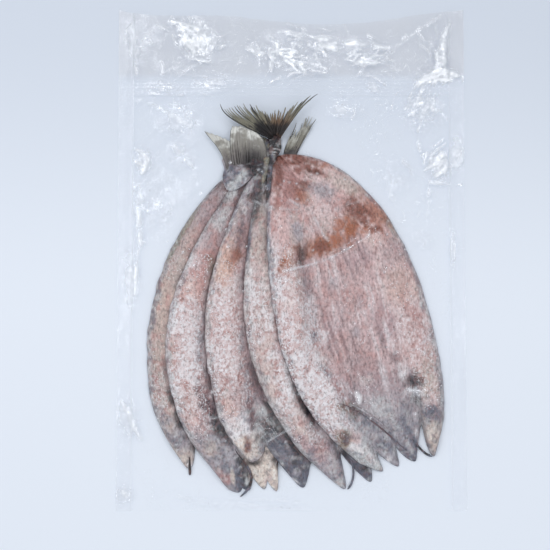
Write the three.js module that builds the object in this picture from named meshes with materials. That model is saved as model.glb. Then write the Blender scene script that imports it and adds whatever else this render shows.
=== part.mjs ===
// Five salted mackerel, split open and fanned out, in one clear sealed bag.
// Millimetres, +Z up. The origin is the middle of the flat underside, +Y runs from the heads to the tails.
import * as THREE from 'three';

// Bag
const BAG_WIDTH = 280;
const BAG_LENGTH = 404;
const CORNER_PULL = 1.5;
const FLANGE_HEIGHT = 1.6;
const SEAL_LINE_Y = 138;
const SEAL_WIDTH = 13;
const SEAL_HEIGHT = 1.2;
const SEAL_FADE = 4;
const FLAP_RIPPLE = 3.2;
const FLANGE_RIPPLE = 0.9;
const RIPPLE_WIDTH = 9;
const RIPPLE_LENGTH = 11;
const RIPPLE_FADE = 18;
const MOUTH_DIP = 13;
const MOUTH_START = 0.75;
const MOUTH_LEVEL = 0.72;
const MOUTH_WAVE = 0.28;
const MOUTH_WAVES = 4.4;
const MOUTH_SHIFT = 0.6;

// Opened fish: heights in mm, the rest as shares of its length or half width
const FISH_THICKNESS = 12;
const BELLY_SHARE = 0.45;
const BELLY_EDGE = [0.4, 0.7];
const CAVITY_START = [0.26, 0.4];
const CAVITY_END = [0.76, 0.9];
const SPLIT_GROOVE = 1.6;
const GROOVE_HALF = 0.06;
const STRIP_CENTRE = 0.72;
const STRIP_ROUND = 0.3;
const TAIL_SHARE = 0.45;
const TAIL_THICKENS = [0.05, 0.5];
const TIP_SHARE = 0.42;
const TIP_THINS = [0.72, 1];
const TIP_ROUND = 0.05;
const JAW_NOTCH = 0.88;
const JAW_POINT = 0.55;
const JAW_DRAW = [0.7, 1];

// Tails
const FIN_HEIGHT = 2.2;
const FIN_STEP = 1.8;
const FIN_CURVE = 1.6;
const STALK_RADIUS = 5;
const STALK_HEIGHT = 6;

// Film over the fish
const TENT_SLOPE = 1.25;
const TENT_REACH = 30;
const FILM_HEIGHT = 0.6;
const FILM_SOFTNESS = 0.3;

// How far the right edge of an opened fish stands off its left edge, across and along the fish
const SPREAD = [[12, 2], [135, -57], [165, 23], [54, 5]];

// The fan from the lowest fish to the top one: left edge from tail root to jaw, then its jaw lobes, each by
// its share of the width, its half width and its tip
const FAN = [
  { edge: [[-42, 75], [-112, 23], [-146, -96], [-81, -166]], jaws: [[0.16, 0.2, [-81, -167]]] },
  {
    edge: [[-36, 74], [-95, -8], [-139, -90], [-48, -177]],
    jaws: [[0.2, 0.24, [-42, -190]], [0.56, 0.15, [-14, -187]]],
  },
  {
    edge: [[-30, 71], [-71, -16], [-91, -93], [-24, -174]],
    jaws: [[0.14, 0.17, [-30, -165]], [0.47, 0.21, [8, -184]]],
  },
  {
    edge: [[-24, 71], [-46, -31], [-51, -102], [29, -175]],
    jaws: [[0.16, 0.2, [42, -185]], [0.47, 0.15, [63, -179]]],
  },
  {
    edge: [[-17, 82], [-24, -4], [-23, -117], [58, -169]],
    jaws: [
      [0.1, 0.15, [72, -171]],
      [0.33, 0.12, [85, -167]],
      [0.58, 0.2, [99, -163]],
      [0.88, 0.16, [112, -160]],
    ],
  },
];

// Tail fins that show, lowest first: root, lower end of the stalk, heading and half angle in degrees,
// longest ray at the left and at the right, share of that length in the middle
const FINS = [
  { root: [0, 85], stalk: [-10, 76], heading: 62, half: 17, left: 27, right: 33, fork: 0.7 },
  { root: [-48, 77], stalk: [-54, 50], heading: 128, half: 14, left: 33, right: 18, fork: 0.75 },
  { root: [-34, 77], stalk: [-38, 48], heading: 98, half: 34, left: 31, right: 24, fork: 0.95 },
  { root: [-13, 97], stalk: [-19, 56], heading: 97, half: 52, left: 51, right: 48, fork: 0.42 },
];

// Grid lines, crowded towards the sides by a sine of this angle
const GRID_ANGLE = 1.337;
const CELLS_ACROSS = 56;
const CELLS_ALONG = 78;
const SAMPLES_ACROSS = 110;
const SAMPLES_ALONG = 220;
const MAP_STEP = 2.5;
const MAP_COLUMNS = Math.round(BAG_WIDTH / MAP_STEP) + 1;
const MAP_ROWS = Math.round(BAG_LENGTH / MAP_STEP) + 1;

const clamp = (value, low, high) => Math.min(high, Math.max(low, value));
const smooth = ([low, high], value) => {
  const t = clamp((value - low) / (high - low), 0, 1);
  return t * t * (3 - 2 * t);
};
const vector = ([x, y]) => new THREE.Vector2(x, y);

// Flesh thickness: two thick back strips, a thin belly between, pointed lobes at the jaws
function fleshHeight(along, width, end) {
  const off = Math.abs(2 * width - 1);
  const cavity = smooth(CAVITY_START, along) * (1 - smooth(CAVITY_END, along));
  const belly = 1 - (1 - BELLY_SHARE) * cavity * (1 - smooth(BELLY_EDGE, off));
  const strip = 1 - STRIP_ROUND * Math.min(1, ((off - STRIP_CENTRE) / (1 - STRIP_CENTRE)) ** 2);
  const rim = Math.sqrt(1 - off ** 6) * strip;
  const groove = SPLIT_GROOVE * Math.exp(-((off / GROOVE_HALF) ** 2)) * (1 - cavity);
  const tail = THREE.MathUtils.lerp(TAIL_SHARE, 1, smooth(TAIL_THICKENS, along));
  const head = THREE.MathUtils.lerp(1, TIP_SHARE, smooth(TIP_THINS, along));
  const tip = Math.sqrt(clamp((end - along) / TIP_ROUND, 0, 1));
  return Math.max(0, FISH_THICKNESS * belly * rim * tail * head * tip - groove);
}

// Thickness of one opened fish over the bag, drawn out to its jaw tips at the lower end
function fleshMap({ edge, jaws }) {
  const left = edge.map(vector);
  const run = left[3].clone().sub(left[0]).normalize();
  const side = new THREE.Vector2(-run.y, run.x);
  const right = left.map((point, i) => {
    const [across, onward] = SPREAD[i];
    return point.clone().addScaledVector(side, across).addScaledVector(run, onward);
  });
  const leftCurve = new THREE.CubicBezierCurve(...left);
  const rightCurve = new THREE.CubicBezierCurve(...right);
  const laid = (along, width) => leftCurve.getPoint(along).lerp(rightCurve.getPoint(along), width);
  const draws = jaws.map(([share, half, tip]) => ({ share, half, by: vector(tip).sub(laid(1, share)) }));
  const map = new Float32Array(MAP_COLUMNS * MAP_ROWS);
  for (let i = 0; i <= SAMPLES_ACROSS; i += 1) {
    const width = i / SAMPLES_ACROSS;
    const nearest = Math.min(1, ...draws.map(({ share, half }) => Math.abs(width - share) / half));
    const end = JAW_NOTCH + (1 - JAW_NOTCH) * (1 - nearest) ** JAW_POINT;
    for (let j = 0; j <= SAMPLES_ALONG; j += 1) {
      const along = (end * j) / SAMPLES_ALONG;
      const place = laid(along, width);
      for (const { share, half, by } of draws) {
        const pull = Math.exp(-(((width - share) / half) ** 2)) * smooth(JAW_DRAW, along / end);
        place.addScaledVector(by, pull);
      }
      const column = clamp(Math.round((place.x + BAG_WIDTH / 2) / MAP_STEP), 0, MAP_COLUMNS - 1);
      const row = clamp(Math.round((place.y + BAG_LENGTH / 2) / MAP_STEP), 0, MAP_ROWS - 1);
      const cell = row * MAP_COLUMNS + column;
      map[cell] = Math.max(map[cell], fleshHeight(along, width, end));
    }
  }
  return map;
}

const fleshMaps = FAN.map(fleshMap);

function fleshAt(map, x, y) {
  const column = clamp((x + BAG_WIDTH / 2) / MAP_STEP, 0, MAP_COLUMNS - 1.001);
  const row = clamp((y + BAG_LENGTH / 2) / MAP_STEP, 0, MAP_ROWS - 1.001);
  const a = Math.floor(column);
  const b = Math.floor(row);
  const near = b * MAP_COLUMNS + a;
  const low = THREE.MathUtils.lerp(map[near], map[near + 1], column - a);
  const high = THREE.MathUtils.lerp(map[near + MAP_COLUMNS], map[near + MAP_COLUMNS + 1], column - a);
  return THREE.MathUtils.lerp(low, high, row - b);
}

// Tail stalk and forked fin
function tailHeight({ root, stalk, heading, half, left, right, fork }, x, y) {
  const from = vector(root);
  const ray = new THREE.Vector2(x, y).sub(from);
  const line = vector(stalk).sub(from);
  const run = clamp(ray.dot(line) / line.lengthSq(), 0, 1);
  const away = ray.distanceTo(line.clone().multiplyScalar(run)) / STALK_RADIUS;
  const stalkHeight = away < 1 ? STALK_HEIGHT * Math.sqrt(1 - away * away) : 0;
  const angle = Math.atan2(ray.y, ray.x) - THREE.MathUtils.degToRad(heading);
  const turn = Math.atan2(Math.sin(angle), Math.cos(angle)) / THREE.MathUtils.degToRad(half);
  const open = Math.min(1, Math.abs(turn));
  const reach = (turn > 0 ? left : right) * (fork + (1 - fork) * open ** FIN_CURVE);
  const finHeight = open < 1 && ray.length() < reach ? FIN_HEIGHT : 0;
  return Math.max(stalkHeight, finHeight);
}

// Film lying flat round the fish: rippled mouth above the seal, low waves elsewhere
function flangeHeight(x, y) {
  const aboveSeal = smooth([SEAL_LINE_Y + SEAL_WIDTH / 2, SEAL_LINE_Y + SEAL_WIDTH], y);
  const onSeal = 1 - smooth([SEAL_WIDTH / 2, SEAL_WIDTH / 2 + SEAL_FADE], Math.abs(y - SEAL_LINE_Y));
  const toEdge = Math.min(BAG_WIDTH / 2 - Math.abs(x), BAG_LENGTH / 2 - Math.abs(y));
  const inside = smooth([0, RIPPLE_FADE], toEdge);
  const across = Math.sin(x / RIPPLE_WIDTH + Math.sin(y / (2 * RIPPLE_WIDTH)));
  const along = Math.sin(y / RIPPLE_LENGTH + Math.sin(x / (2 * RIPPLE_LENGTH)));
  const depth = THREE.MathUtils.lerp(FLANGE_RIPPLE * inside, FLAP_RIPPLE, aboveSeal);
  const ripple = (depth * (1 + across * along)) / 2;
  return THREE.MathUtils.lerp(FLANGE_HEIGHT + ripple, SEAL_HEIGHT, onSeal);
}

// Bodies lie on those below them, tails lie side by side a little above one another
function stackHeight(x, y) {
  const bodies = fleshMaps.reduce((sum, map) => sum + fleshAt(map, x, y), 0);
  const tails = FINS.map((fin, layer) => {
    const own = tailHeight(fin, x, y);
    return own > 0 ? own + FIN_STEP * layer : 0;
  });
  return Math.max(bodies, ...tails);
}

// Grid over the bag, with the mouth edge dipping between its corners
function gridPoint(i, j) {
  const a = (2 * i) / CELLS_ACROSS - 1;
  const b = (2 * j) / CELLS_ALONG - 1;
  const x = ((BAG_WIDTH / 2) * Math.sin(a * GRID_ANGLE)) / Math.sin(GRID_ANGLE);
  const wave = MOUTH_LEVEL + MOUTH_WAVE * Math.sin(MOUTH_WAVES * a + MOUTH_SHIFT);
  const dip = MOUTH_DIP * (1 - a ** 4) * wave * smooth([MOUTH_START, 1], b);
  const y = (BAG_LENGTH / 2) * b - dip;
  const pull = Math.abs(a) === 1 && Math.abs(b) === 1 ? CORNER_PULL : 0;
  return [x - Math.sign(x) * pull, y < 0 ? y + pull : y];
}

const columns = CELLS_ACROSS + 1;
const rows = CELLS_ALONG + 1;
const points = [];
for (let j = 0; j < rows; j += 1) {
  for (let i = 0; i < columns; i += 1) {
    const [x, y] = gridPoint(i, j);
    points.push({ x, y, fish: stackHeight(x, y) });
  }
}

// Film drawn tight from the fish down to the flange
for (const point of points) {
  point.film = flangeHeight(point.x, point.y);
  for (const other of points) {
    const gap = Math.hypot(other.x - point.x, other.y - point.y);
    if (other.fish > 0 && gap < TENT_REACH) {
      point.film = Math.max(point.film, other.fish + FILM_HEIGHT - TENT_SLOPE * gap);
    }
  }
}

const isEdge = (i, j) => i === 0 || j === 0 || i === columns - 1 || j === rows - 1;
const heights = points.map((point, index) => {
  if (isEdge(index % columns, Math.floor(index / columns))) {
    return FLANGE_HEIGHT;
  }
  const around = [index - 1, index + 1, index - columns, index + columns];
  const mean = around.reduce((sum, k) => sum + points[k].film, 0) / around.length;
  return THREE.MathUtils.lerp(point.film, mean, FILM_SOFTNESS);
});

const positions = [];
points.forEach((point, index) => positions.push(point.x, point.y, heights[index]));
const faces = [];
for (let j = 0; j < CELLS_ALONG; j += 1) {
  for (let i = 0; i < CELLS_ACROSS; i += 1) {
    const a = j * columns + i;
    const b = a + 1;
    const c = a + columns + 1;
    const d = a + columns;
    const level = Math.abs(heights[a] - heights[c]) < Math.abs(heights[b] - heights[d]);
    faces.push(...(level ? [a, b, c, a, c, d] : [a, b, d, b, c, d]));
  }
}

// Rim wall and flat underside
const rim = [];
for (let i = 0; i < columns - 1; i += 1) rim.push(i);
for (let j = 0; j < rows - 1; j += 1) rim.push(j * columns + columns - 1);
for (let i = columns - 1; i > 0; i -= 1) rim.push((rows - 1) * columns + i);
for (let j = rows - 1; j > 0; j -= 1) rim.push(j * columns);
const under = rim.map((index) => {
  positions.push(points[index].x, points[index].y, 0);
  return positions.length / 3 - 1;
});
rim.forEach((top, k) => {
  const next = (k + 1) % rim.length;
  faces.push(under[k], under[next], rim[next], under[k], rim[next], top);
});
const outline = rim.map((index) => new THREE.Vector2(points[index].x, points[index].y));
for (const [a, b, c] of THREE.ShapeUtils.triangulateShape(outline, [])) {
  faces.push(under[a], under[c], under[b]);
}

const geometry = new THREE.BufferGeometry();
geometry.setAttribute('position', new THREE.Float32BufferAttribute(positions, 3));
geometry.setIndex(faces);
geometry.computeVertexNormals();

const material = new THREE.MeshStandardMaterial({ name: 'packed_fish', color: 0xb59c98, roughness: 0.35 });
const bag = new THREE.Mesh(geometry, material);
bag.name = 'sealed_bag';

const group = new THREE.Group();
group.name = 'salted_mackerel_pack';
group.add(bag);
export default group;
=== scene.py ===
"""Looks of a clear sealed bag of split salted mackerel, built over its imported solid."""
import math

import bpy
import numpy as np
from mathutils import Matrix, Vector


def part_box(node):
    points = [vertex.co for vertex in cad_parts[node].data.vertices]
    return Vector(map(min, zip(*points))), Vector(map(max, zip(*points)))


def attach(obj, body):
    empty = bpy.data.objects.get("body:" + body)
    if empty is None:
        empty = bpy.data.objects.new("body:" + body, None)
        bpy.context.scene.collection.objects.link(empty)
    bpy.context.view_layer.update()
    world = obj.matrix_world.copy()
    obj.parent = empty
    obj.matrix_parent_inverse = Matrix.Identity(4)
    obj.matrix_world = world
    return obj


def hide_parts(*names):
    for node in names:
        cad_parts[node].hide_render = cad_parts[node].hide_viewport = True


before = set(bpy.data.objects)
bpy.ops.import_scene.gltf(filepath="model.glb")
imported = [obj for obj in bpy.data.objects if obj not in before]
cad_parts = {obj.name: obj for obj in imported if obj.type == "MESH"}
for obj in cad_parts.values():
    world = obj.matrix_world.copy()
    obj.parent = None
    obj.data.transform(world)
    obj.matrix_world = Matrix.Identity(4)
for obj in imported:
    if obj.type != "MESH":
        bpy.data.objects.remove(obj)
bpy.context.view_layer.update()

bl_info = {
    "name": "Salted mackerel pack",
    "version": (1, 0, 0),
    "blender": (4, 5, 0),
    "location": "View3D > Sidebar > Mackerel",
    "description": "Lays split salted mackerel in a fan and seals them in clear film",
    "category": "Add Mesh",
}

MM = 0.001
BAG_NODE = "sealed_bag"
BAG_LOW, BAG_HIGH = (np.array(corner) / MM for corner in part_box(BAG_NODE))

# How far the right edge of an opened fish stands off its left edge, across and along the fish, in mm
SPREAD = ((12, 2), (135, -57), (165, 23), (54, 5))

# The fan from the lowest fish to the top one: left edge from tail root to jaw in mm, share of salt, tints of
# the flesh near the tail and further down
FAN = (
    (((-42, 75), (-112, 23), (-146, -96), (-81, -166)), 0.25, "mauve", "putty"),
    (((-36, 74), (-95, -8), (-139, -90), (-48, -177)), 0.85, "mauve", "blush"),
    (((-30, 71), (-73, -17), (-94, -92), (-22, -174)), 0.65, "mauve", "blush"),
    (((-24, 71), (-46, -31), (-51, -102), (29, -175)), 0.9, "putty", "shell"),
    (((-17, 82), (-24, -4), (-23, -117), (58, -169)), 1.2, "blush", "blush"),
)

# Tail fins that show, lowest first: paleness, share of the length that is frayed, and their main rays from
# left to right, each by four places in mm from root to tip
FINS = (
    (0.55, 0.8, (
        ((-6, 80), (-6, 92), (1, 97), (4, 109)),
        ((-4, 80), (0, 89), (4, 96), (6, 100)),
        ((-2, 80), (5, 93), (10, 105), (13, 116)),
        ((2, 80), (8, 93), (14, 104), (20, 112)),
    )),
    (0.9, 0.1, (
        ((-52, 68), (-53, 84), (-61, 92), (-70, 102)),
        ((-49, 70), (-53, 84), (-56, 92), (-58, 98)),
        ((-44, 70), (-47, 82), (-49, 90), (-50, 94)),
    )),
    (1.0, 0.1, (
        ((-46, 70), (-49, 86), (-50, 97), (-47, 106)),
        ((-37, 70), (-39, 86), (-39, 99), (-40, 106)),
        ((-30, 70), (-28, 86), (-30, 97), (-32, 103)),
        ((-22, 70), (-19, 84), (-20, 92), (-27, 99)),
    )),
    (0.1, 0.6, (
        ((-16, 95), (-36, 105), (-56, 112), (-57, 123)),
        ((-15, 98), (-27, 111), (-32, 118), (-35, 123)),
        ((-13, 99), (-15, 108), (-17, 113), (-17, 117)),
        ((-11, 98), (-6, 108), (-1, 117), (2, 123)),
        ((-9, 96), (0, 110), (9, 124), (21, 131)),
    )),
)

# Tail stalks and thin jaw rims: path in mm, thickest radius in mm, shares of the length over which they swell
# and taper, two tints
STRANDS = (
    (((-38, 98), (-38, 84), (-42, 71), (-50, 53)), 15.0, 0.55, 0.35, "ash", "slate"),
    (((-28, 93), (-27, 78), (-26, 66), (-28, 48)), 6.5, 0.4, 0.5, "slate", "ink"),
    (((-24, 97), (-19, 86), (-20, 71), (-24, 54)), 3.8, 0.2, 0.6, "olive", "slate"),
    (((-15, 103), (-13, 92), (-14, 84), (-16, 72)), 5.0, 0.12, 0.5, "ink", "ink"),
    (((-15, 84), (-17, 70), (-18, 56), (-20, 42)), 2.0, 0.3, 0.4, "ink", "slate"),
    (((-81, -159), (-81, -167), (-81, -174)), 1.1, 0.6, 0.1, "ink", "slate"),
    (((-45, -152), (-37, -164), (-32, -175), (-35, -185), (-41, -191)), 1.0, 0.5, 0.2, "ink", "slate"),
    (((46, -160), (49, -169), (48.5, -178), (44.4, -185)), 0.9, 0.4, 0.1, "slate", "ink"),
    (((96, -145), (101, -151), (106, -156), (112, -159)), 0.9, 0.3, 0.1, "slate", "ink"),
    # Painted shadow: this plum strand is the dark line below the pale throat fold of the next row
    (((36, -116), (54, -124), (74, -139), (92, -155)), 0.6, 0.6, 0.4, "plum", "slate"),
    (((46, -117), (62, -126), (80, -140)), 0.7, 0.4, 0.4, "ash", "ash"),
)

# Jaw lobes at the lower end of each fish: share of its width and half width, tip in mm, tints from the gill
# to the tip
LOBES = (
    (
        (0.16, 0.15, (-82, -169), "ash", "putty"),
    ),
    (
        (0.22, 0.24, (-42, -191), "ash", "ash"),
        (0.36, 0.17, (-34, -182), "ash", "slate"),
        (0.53, 0.09, (-21, -184), "straw", "straw"),
        (0.64, 0.09, (-11, -187), "straw", "straw"),
    ),
    (
        (0.14, 0.17, (-32, -163), "pearl", "straw"),
        (0.49, 0.19, (9, -184), "ink", "slate"),
    ),
    (
        (0.16, 0.165, (42, -185), "lilac", "ash"),
        (0.47, 0.15, (63, -179), "ink", "slate"),
    ),
    (
        (0.1, 0.15, (72, -171), "pearl", "mist"),
        (0.33, 0.12, (85, -167), "ash", "ash"),
        (0.58, 0.17, (98, -163), "ash", "slate"),
        (0.88, 0.115, (113, -159), "slate", "putty"),
    ),
)

# Stains on the flesh that shows, with painted shade in some gaps and painted glints, by fish from the lowest,
# with the strands last: number of the fish, place in mm, half lengths across and along in mm, turn in
# degrees, tint and strength
BLOTS = (
    (0, (-91, -146), 9, 7, 0, "slate", 0.45),
    (0, (-82, -160), 8, 6, 0, "straw", 0.7),
    (0, (-81, -166), 4, 4, 0, "pearl", 0.8),
    (0, (-68, 36), 10, 17, -29, "mauve", 0.7),
    (0, (-80, 15), 8, 15, -29, "fawn", 0.6),
    (0, (-93, -12), 9, 20, -25, "putty", 0.6),
    (0, (-88, 18), 3.5, 36, -29, "olive", 0.7),
    (1, (-56, 31), 7, 16, -25, "mist", 0.6),
    (1, (-49, 51), 7, 6, 30, "mist", 0.8),
    (1, (-71, -18), 5, 18, -8, "rose", 0.7),
    (1, (-67, -38), 5, 10, 0, "shell", 0.7),
    (1, (-81, -114), 9, 14, 16, "fawn", 0.45),
    (1, (-73, -10), 8, 9, 0, "rose", 0.4),
    (1, (-72, 1), 6, 8, 0, "rose", 0.6),
    (1, (-63, 1), 6, 7, 0, "rose", 0.8),
    (1, (-66, -2), 4, 4, 0, "umber", 0.6),
    # Painted shade: the next three rows darken this fish along the edge of the fish above it
    (1, (-71, -110), 6, 13, 16, "plum", 0.8),
    (1, (-66, -117), 8, 14, 31, "plum", 0.95),
    (1, (-57, -135), 8, 16, 31, "ink", 1.0),
    (1, (-64, -153), 9, 8, 0, "putty", 0.8),
    (1, (-49, -158), 6, 6, 10, "ash", 0.8),
    (1, (-54, -175), 5, 10, 35, "rose", 0.7),
    (1, (-47, -173), 2, 9, 8, "straw", 0.7),
    (1, (-38, -171), 6, 19, 16, "ink", 0.9),
    # Painted glint
    (1, (-35, -179), 3, 4, 0, "mist", 0.9),
    (1, (-19, -178), 4, 5, 0, "blush", 0.6),
    (1, (-12, -182), 3, 4, 0, "putty", 0.7),
    (1, (-17, -176), 1.6, 6, 0, "fawn", 0.8),
    (1, (-63, -13), 4, 16, 0, "olive", 0.7),
    # Painted shade along the right side, under the edge of the fish above
    (2, (-41, 14), 4, 20, -8, "plum", 0.85),
    (2, (-51, -6), 9, 26, -11, "peach", 0.7),
    # Painted shadow in the crevice below the tails
    (2, (-30, 46), 9, 2.5, -25, "ink", 0.8),
    (2, (-47, -3), 7, 12, -8, "rust", 0.45),
    (2, (-45, 1), 5.5, 11, -8, "umber", 0.8),
    (2, (-44, -106), 8, 14, 14, "mauve", 0.6),
    (2, (-28, -98), 8, 20, 16, "plum", 0.9),
    (2, (-20, -136), 12, 14, 25, "ink", 0.85),
    (2, (-9, -152), 11, 15, 35, "slate", 0.7),
    (2, (-6, -158), 8, 9, 35, "ash", 0.35),
    (2, (-22, -122), 8, 5, 0, "mist", 0.85),
    # Painted shade in a gap low on this fish
    (2, (-31, -126), 5.5, 16, 8, "plum", 0.95),
    (2, (-27, -137), 5, 7, 20, "ink", 0.6),
    (2, (-8, -134), 5, 10, 39, "mist", 0.8),
    (2, (-41, -21), 4, 9, 0, "shell", 0.8),
    (2, (4, -172), 5, 4, -30, "ash", 0.9),
    (2, (-40, -97), 6, 8, 12, "rose", 0.7),
    (2, (-35, -150), 3.4, 8, 8, "umber", 0.9),
    (2, (-29, -161), 5, 5, 0, "ash", 0.8),
    # Painted glint
    (2, (2, -178), 4, 1.6, -30, "pearl", 0.9),
    (2, (-8, -164), 2, 3, 0, "mist", 0.6),
    # Painted shadow in the crevice below the tails
    (3, (-27, 44), 9, 2.5, -25, "ink", 0.8),
    (3, (-34, 8), 2.5, 18, -4, "slate", 0.8),
    (3, (-28, 40), 5, 16, -12, "ink", 0.8),
    # Painted shadow in the gap under the edge of the top fish
    (3, (12, -123), 3.5, 15, 33, "ink", 0.9),
    (3, (-12, -76), 5, 9, 10, "mauve", 0.8),
    (3, (-3, -122), 8, 13, 25, "pearl", 0.35),
    (3, (21, -152), 9, 7, 0, "rose", 0.4),
    (3, (29, -168), 9, 10, 0, "ash", 0.8),
    (3, (38, -157), 5, 5, 0, "ink", 0.5),
    (3, (38, -180), 5, 5, 0, "mist", 0.8),
    (4, (-19, -2), 2.4, 44, -1, "slate", 0.75),
    (4, (-18, 54), 2.2, 12, 3, "slate", 0.9),
    (4, (-6, 14), 8, 14, 0, "rose", 0.35),
    (4, (-1, -42), 10, 16, 0, "pearl", 0.35),
    (4, (-2, 58), 16, 26, 4, "rose", 0.85),
    (4, (-11, 66), 6, 22, 4, "umber", 0.8),
    (4, (-12, 52), 5, 8, 0, "umber", 0.6),
    (4, (8, 79), 27, 8, -10, "umber", 0.9),
    (4, (6, 71), 7, 5, 0, "umber", 0.7),
    (4, (18, 69), 14, 6, -18, "umber", 1.0),
    (4, (28, 74), 9, 6, -10, "rust", 0.6),
    (4, (17, 68), 10, 4, -12, "ink", 0.35),
    (4, (9, 47), 7, 9, 20, "rust", 0.7),
    (4, (11, 57), 7, 6, 0, "umber", 0.85),
    (4, (2, 54), 7, 12, 20, "umber", 0.35),
    (4, (25, 53), 15, 9, -14, "ash", 0.75),
    (4, (44, 58), 20, 9, -38, "putty", 0.85),
    (4, (38, 45), 9, 8, 0, "rose", 0.5),
    (4, (49, 44), 8, 6, -20, "umber", 1.0),
    (4, (-10, 42), 8, 7, 0, "rose", 1.0),
    (4, (-12, 39), 6, 6, 0, "umber", 0.5),
    (4, (22, 38), 10, 10, 0, "blush", 0.5),
    (4, (4, 18), 7, 9, 0, "ash", 0.8),
    (4, (-4, -8), 9, 7, 24, "rust", 0.8),
    (4, (79, 26), 5, 16, 33, "olive", 0.45),
    (4, (68, 34), 15, 22, 40, "rust", 0.7),
    (4, (30, 10), 42, 10, 24, "rust", 1.0),
    (4, (44, 24), 14, 12, 40, "rust", 0.9),
    (4, (53, 37), 14, 9, -30, "umber", 0.95),
    (4, (58, 29), 8, 6, 0, "umber", 0.9),
    (4, (68, 22), 7, 5, -30, "umber", 0.95),
    (4, (44, 11), 9, 6, 24, "umber", 0.4),
    (4, (24, 7), 9, 6, 20, "umber", 0.85),
    (4, (8, 0), 5.5, 11, -18, "ink", 0.85),
    (4, (80, 2), 13, 20, -20, "mauve", 0.6),
    (4, (32, -24), 5, 8, 0, "ash", 0.5),
    (4, (50, -33), 12, 14, 0, "rose", 0.7),
    (4, (54, -36), 4, 8, 0, "ash", 0.4),
    (4, (51, -60), 5, 6, 0, "ash", 0.6),
    (4, (94, -44), 10, 9, 0, "rose", 0.7),
    (4, (99, -58), 10, 14, 0, "rose", 0.45),
    (4, (81, -80), 7, 6, 20, "plum", 0.55),
    (4, (56, -85), 18, 12, 0, "mauve", 0.6),
    (4, (57, -99), 7, 6, 0, "shell", 0.7),
    (4, (12, -62), 4, 18, 8, "mist", 0.6),
    (4, (-3, -73), 7, 9, 8, "rose", 0.7),
    (4, (13, -70), 6, 12, 8, "pearl", 0.9),
    (4, (20, -85), 9, 10, 15, "pearl", 0.85),
    (4, (24, -65), 6, 8, 0, "pearl", 0.8),
    (4, (14, -42), 8, 14, 8, "pearl", 0.5),
    (4, (18, -64), 3.5, 5, 0, "slate", 0.8),
    (4, (27, -92), 2.6, 10, 36, "slate", 0.85),
    (4, (108, -90), 10, 22, -4, "putty", 0.75),
    (4, (110, -102), 8, 13, 0, "straw", 0.4),
    (4, (88, -91), 6, 8, 0, "pearl", 0.9),
    (4, (98, -99), 8.5, 7.5, -20, "ink", 1.0),
    # Painted glint below the eye
    (4, (94, -107), 6, 2.4, 10, "pearl", 0.95),
    (4, (99, -114), 4, 7, 20, "ink", 0.9),
    (4, (111, -122), 9, 6, 0, "slate", 0.9),
    (4, (113, -141), 8, 12, 0, "straw", 0.7),
    (4, (104, -148), 3.2, 11, 36, "pearl", 1.0),
    (4, (84, -20), 13, 20, -20, "fawn", 0.7),
    (4, (46, -121), 12, 6, -28, "olive", 0.9),
    (4, (48, -122), 9, 4.5, -30, "plum", 0.75),
    (4, (71, -122), 15, 11, -30, "mist", 0.6),
    (4, (64, -133), 16, 6, -36, "slate", 0.8),
    (4, (41, -144), 7, 12, 10, "olive", 0.95),
    (4, (41, -145), 5, 9, 10, "bark", 0.7),
    (4, (42, -143), 4, 7, 10, "plum", 0.6),
    (4, (50, -144), 6, 6, 0, "rose", 0.5),
    (4, (55, -161), 15, 7, -22, "mist", 0.9),
    # Painted glint on the throat
    (4, (53, -112), 3, 5, 20, "pearl", 1.0),
    (4, (76, -162), 4, 4, 0, "pearl", 0.8),
    (4, (74, -150), 9, 5, -30, "slate", 0.7),
    (4, (92, -140), 5, 18, 28, "slate", 0.7),
    (5, (-40, 88), 20, 9, 0, "soot", 0.9),
    (5, (-50, 66), 10, 8, 30, "slate", 0.9),
    (5, (-49, 65), 4, 5, 0, "ash", 0.7),
    (5, (-45, 60), 13, 3.6, 38, "mist", 0.9),
    (5, (-45, 55), 5, 4, 38, "mist", 0.8),
    (5, (-32, 72), 9, 12, 20, "ink", 0.9),
    (5, (-24, 81), 4, 5, 0, "umber", 0.7),
    (5, (-28, 66), 7, 10, 0, "ink", 0.85),
    (5, (-28, 54), 7, 7, 0, "plum", 0.9),
    (5, (-37, 66), 3, 7, 10, "mist", 0.7),
    (5, (-23, 53), 6, 11, 0, "ink", 0.95),
    # Painted glints on the top tail stalk, three rows
    (5, (-13, 87.5), 2.4, 0.7, 0, "mist", 0.8),
    (5, (-14, 84.7), 2.2, 0.6, 0, "mist", 0.8),
    (5, (-14.5, 82.4), 1.8, 0.6, 0, "mist", 0.8),
)
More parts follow.
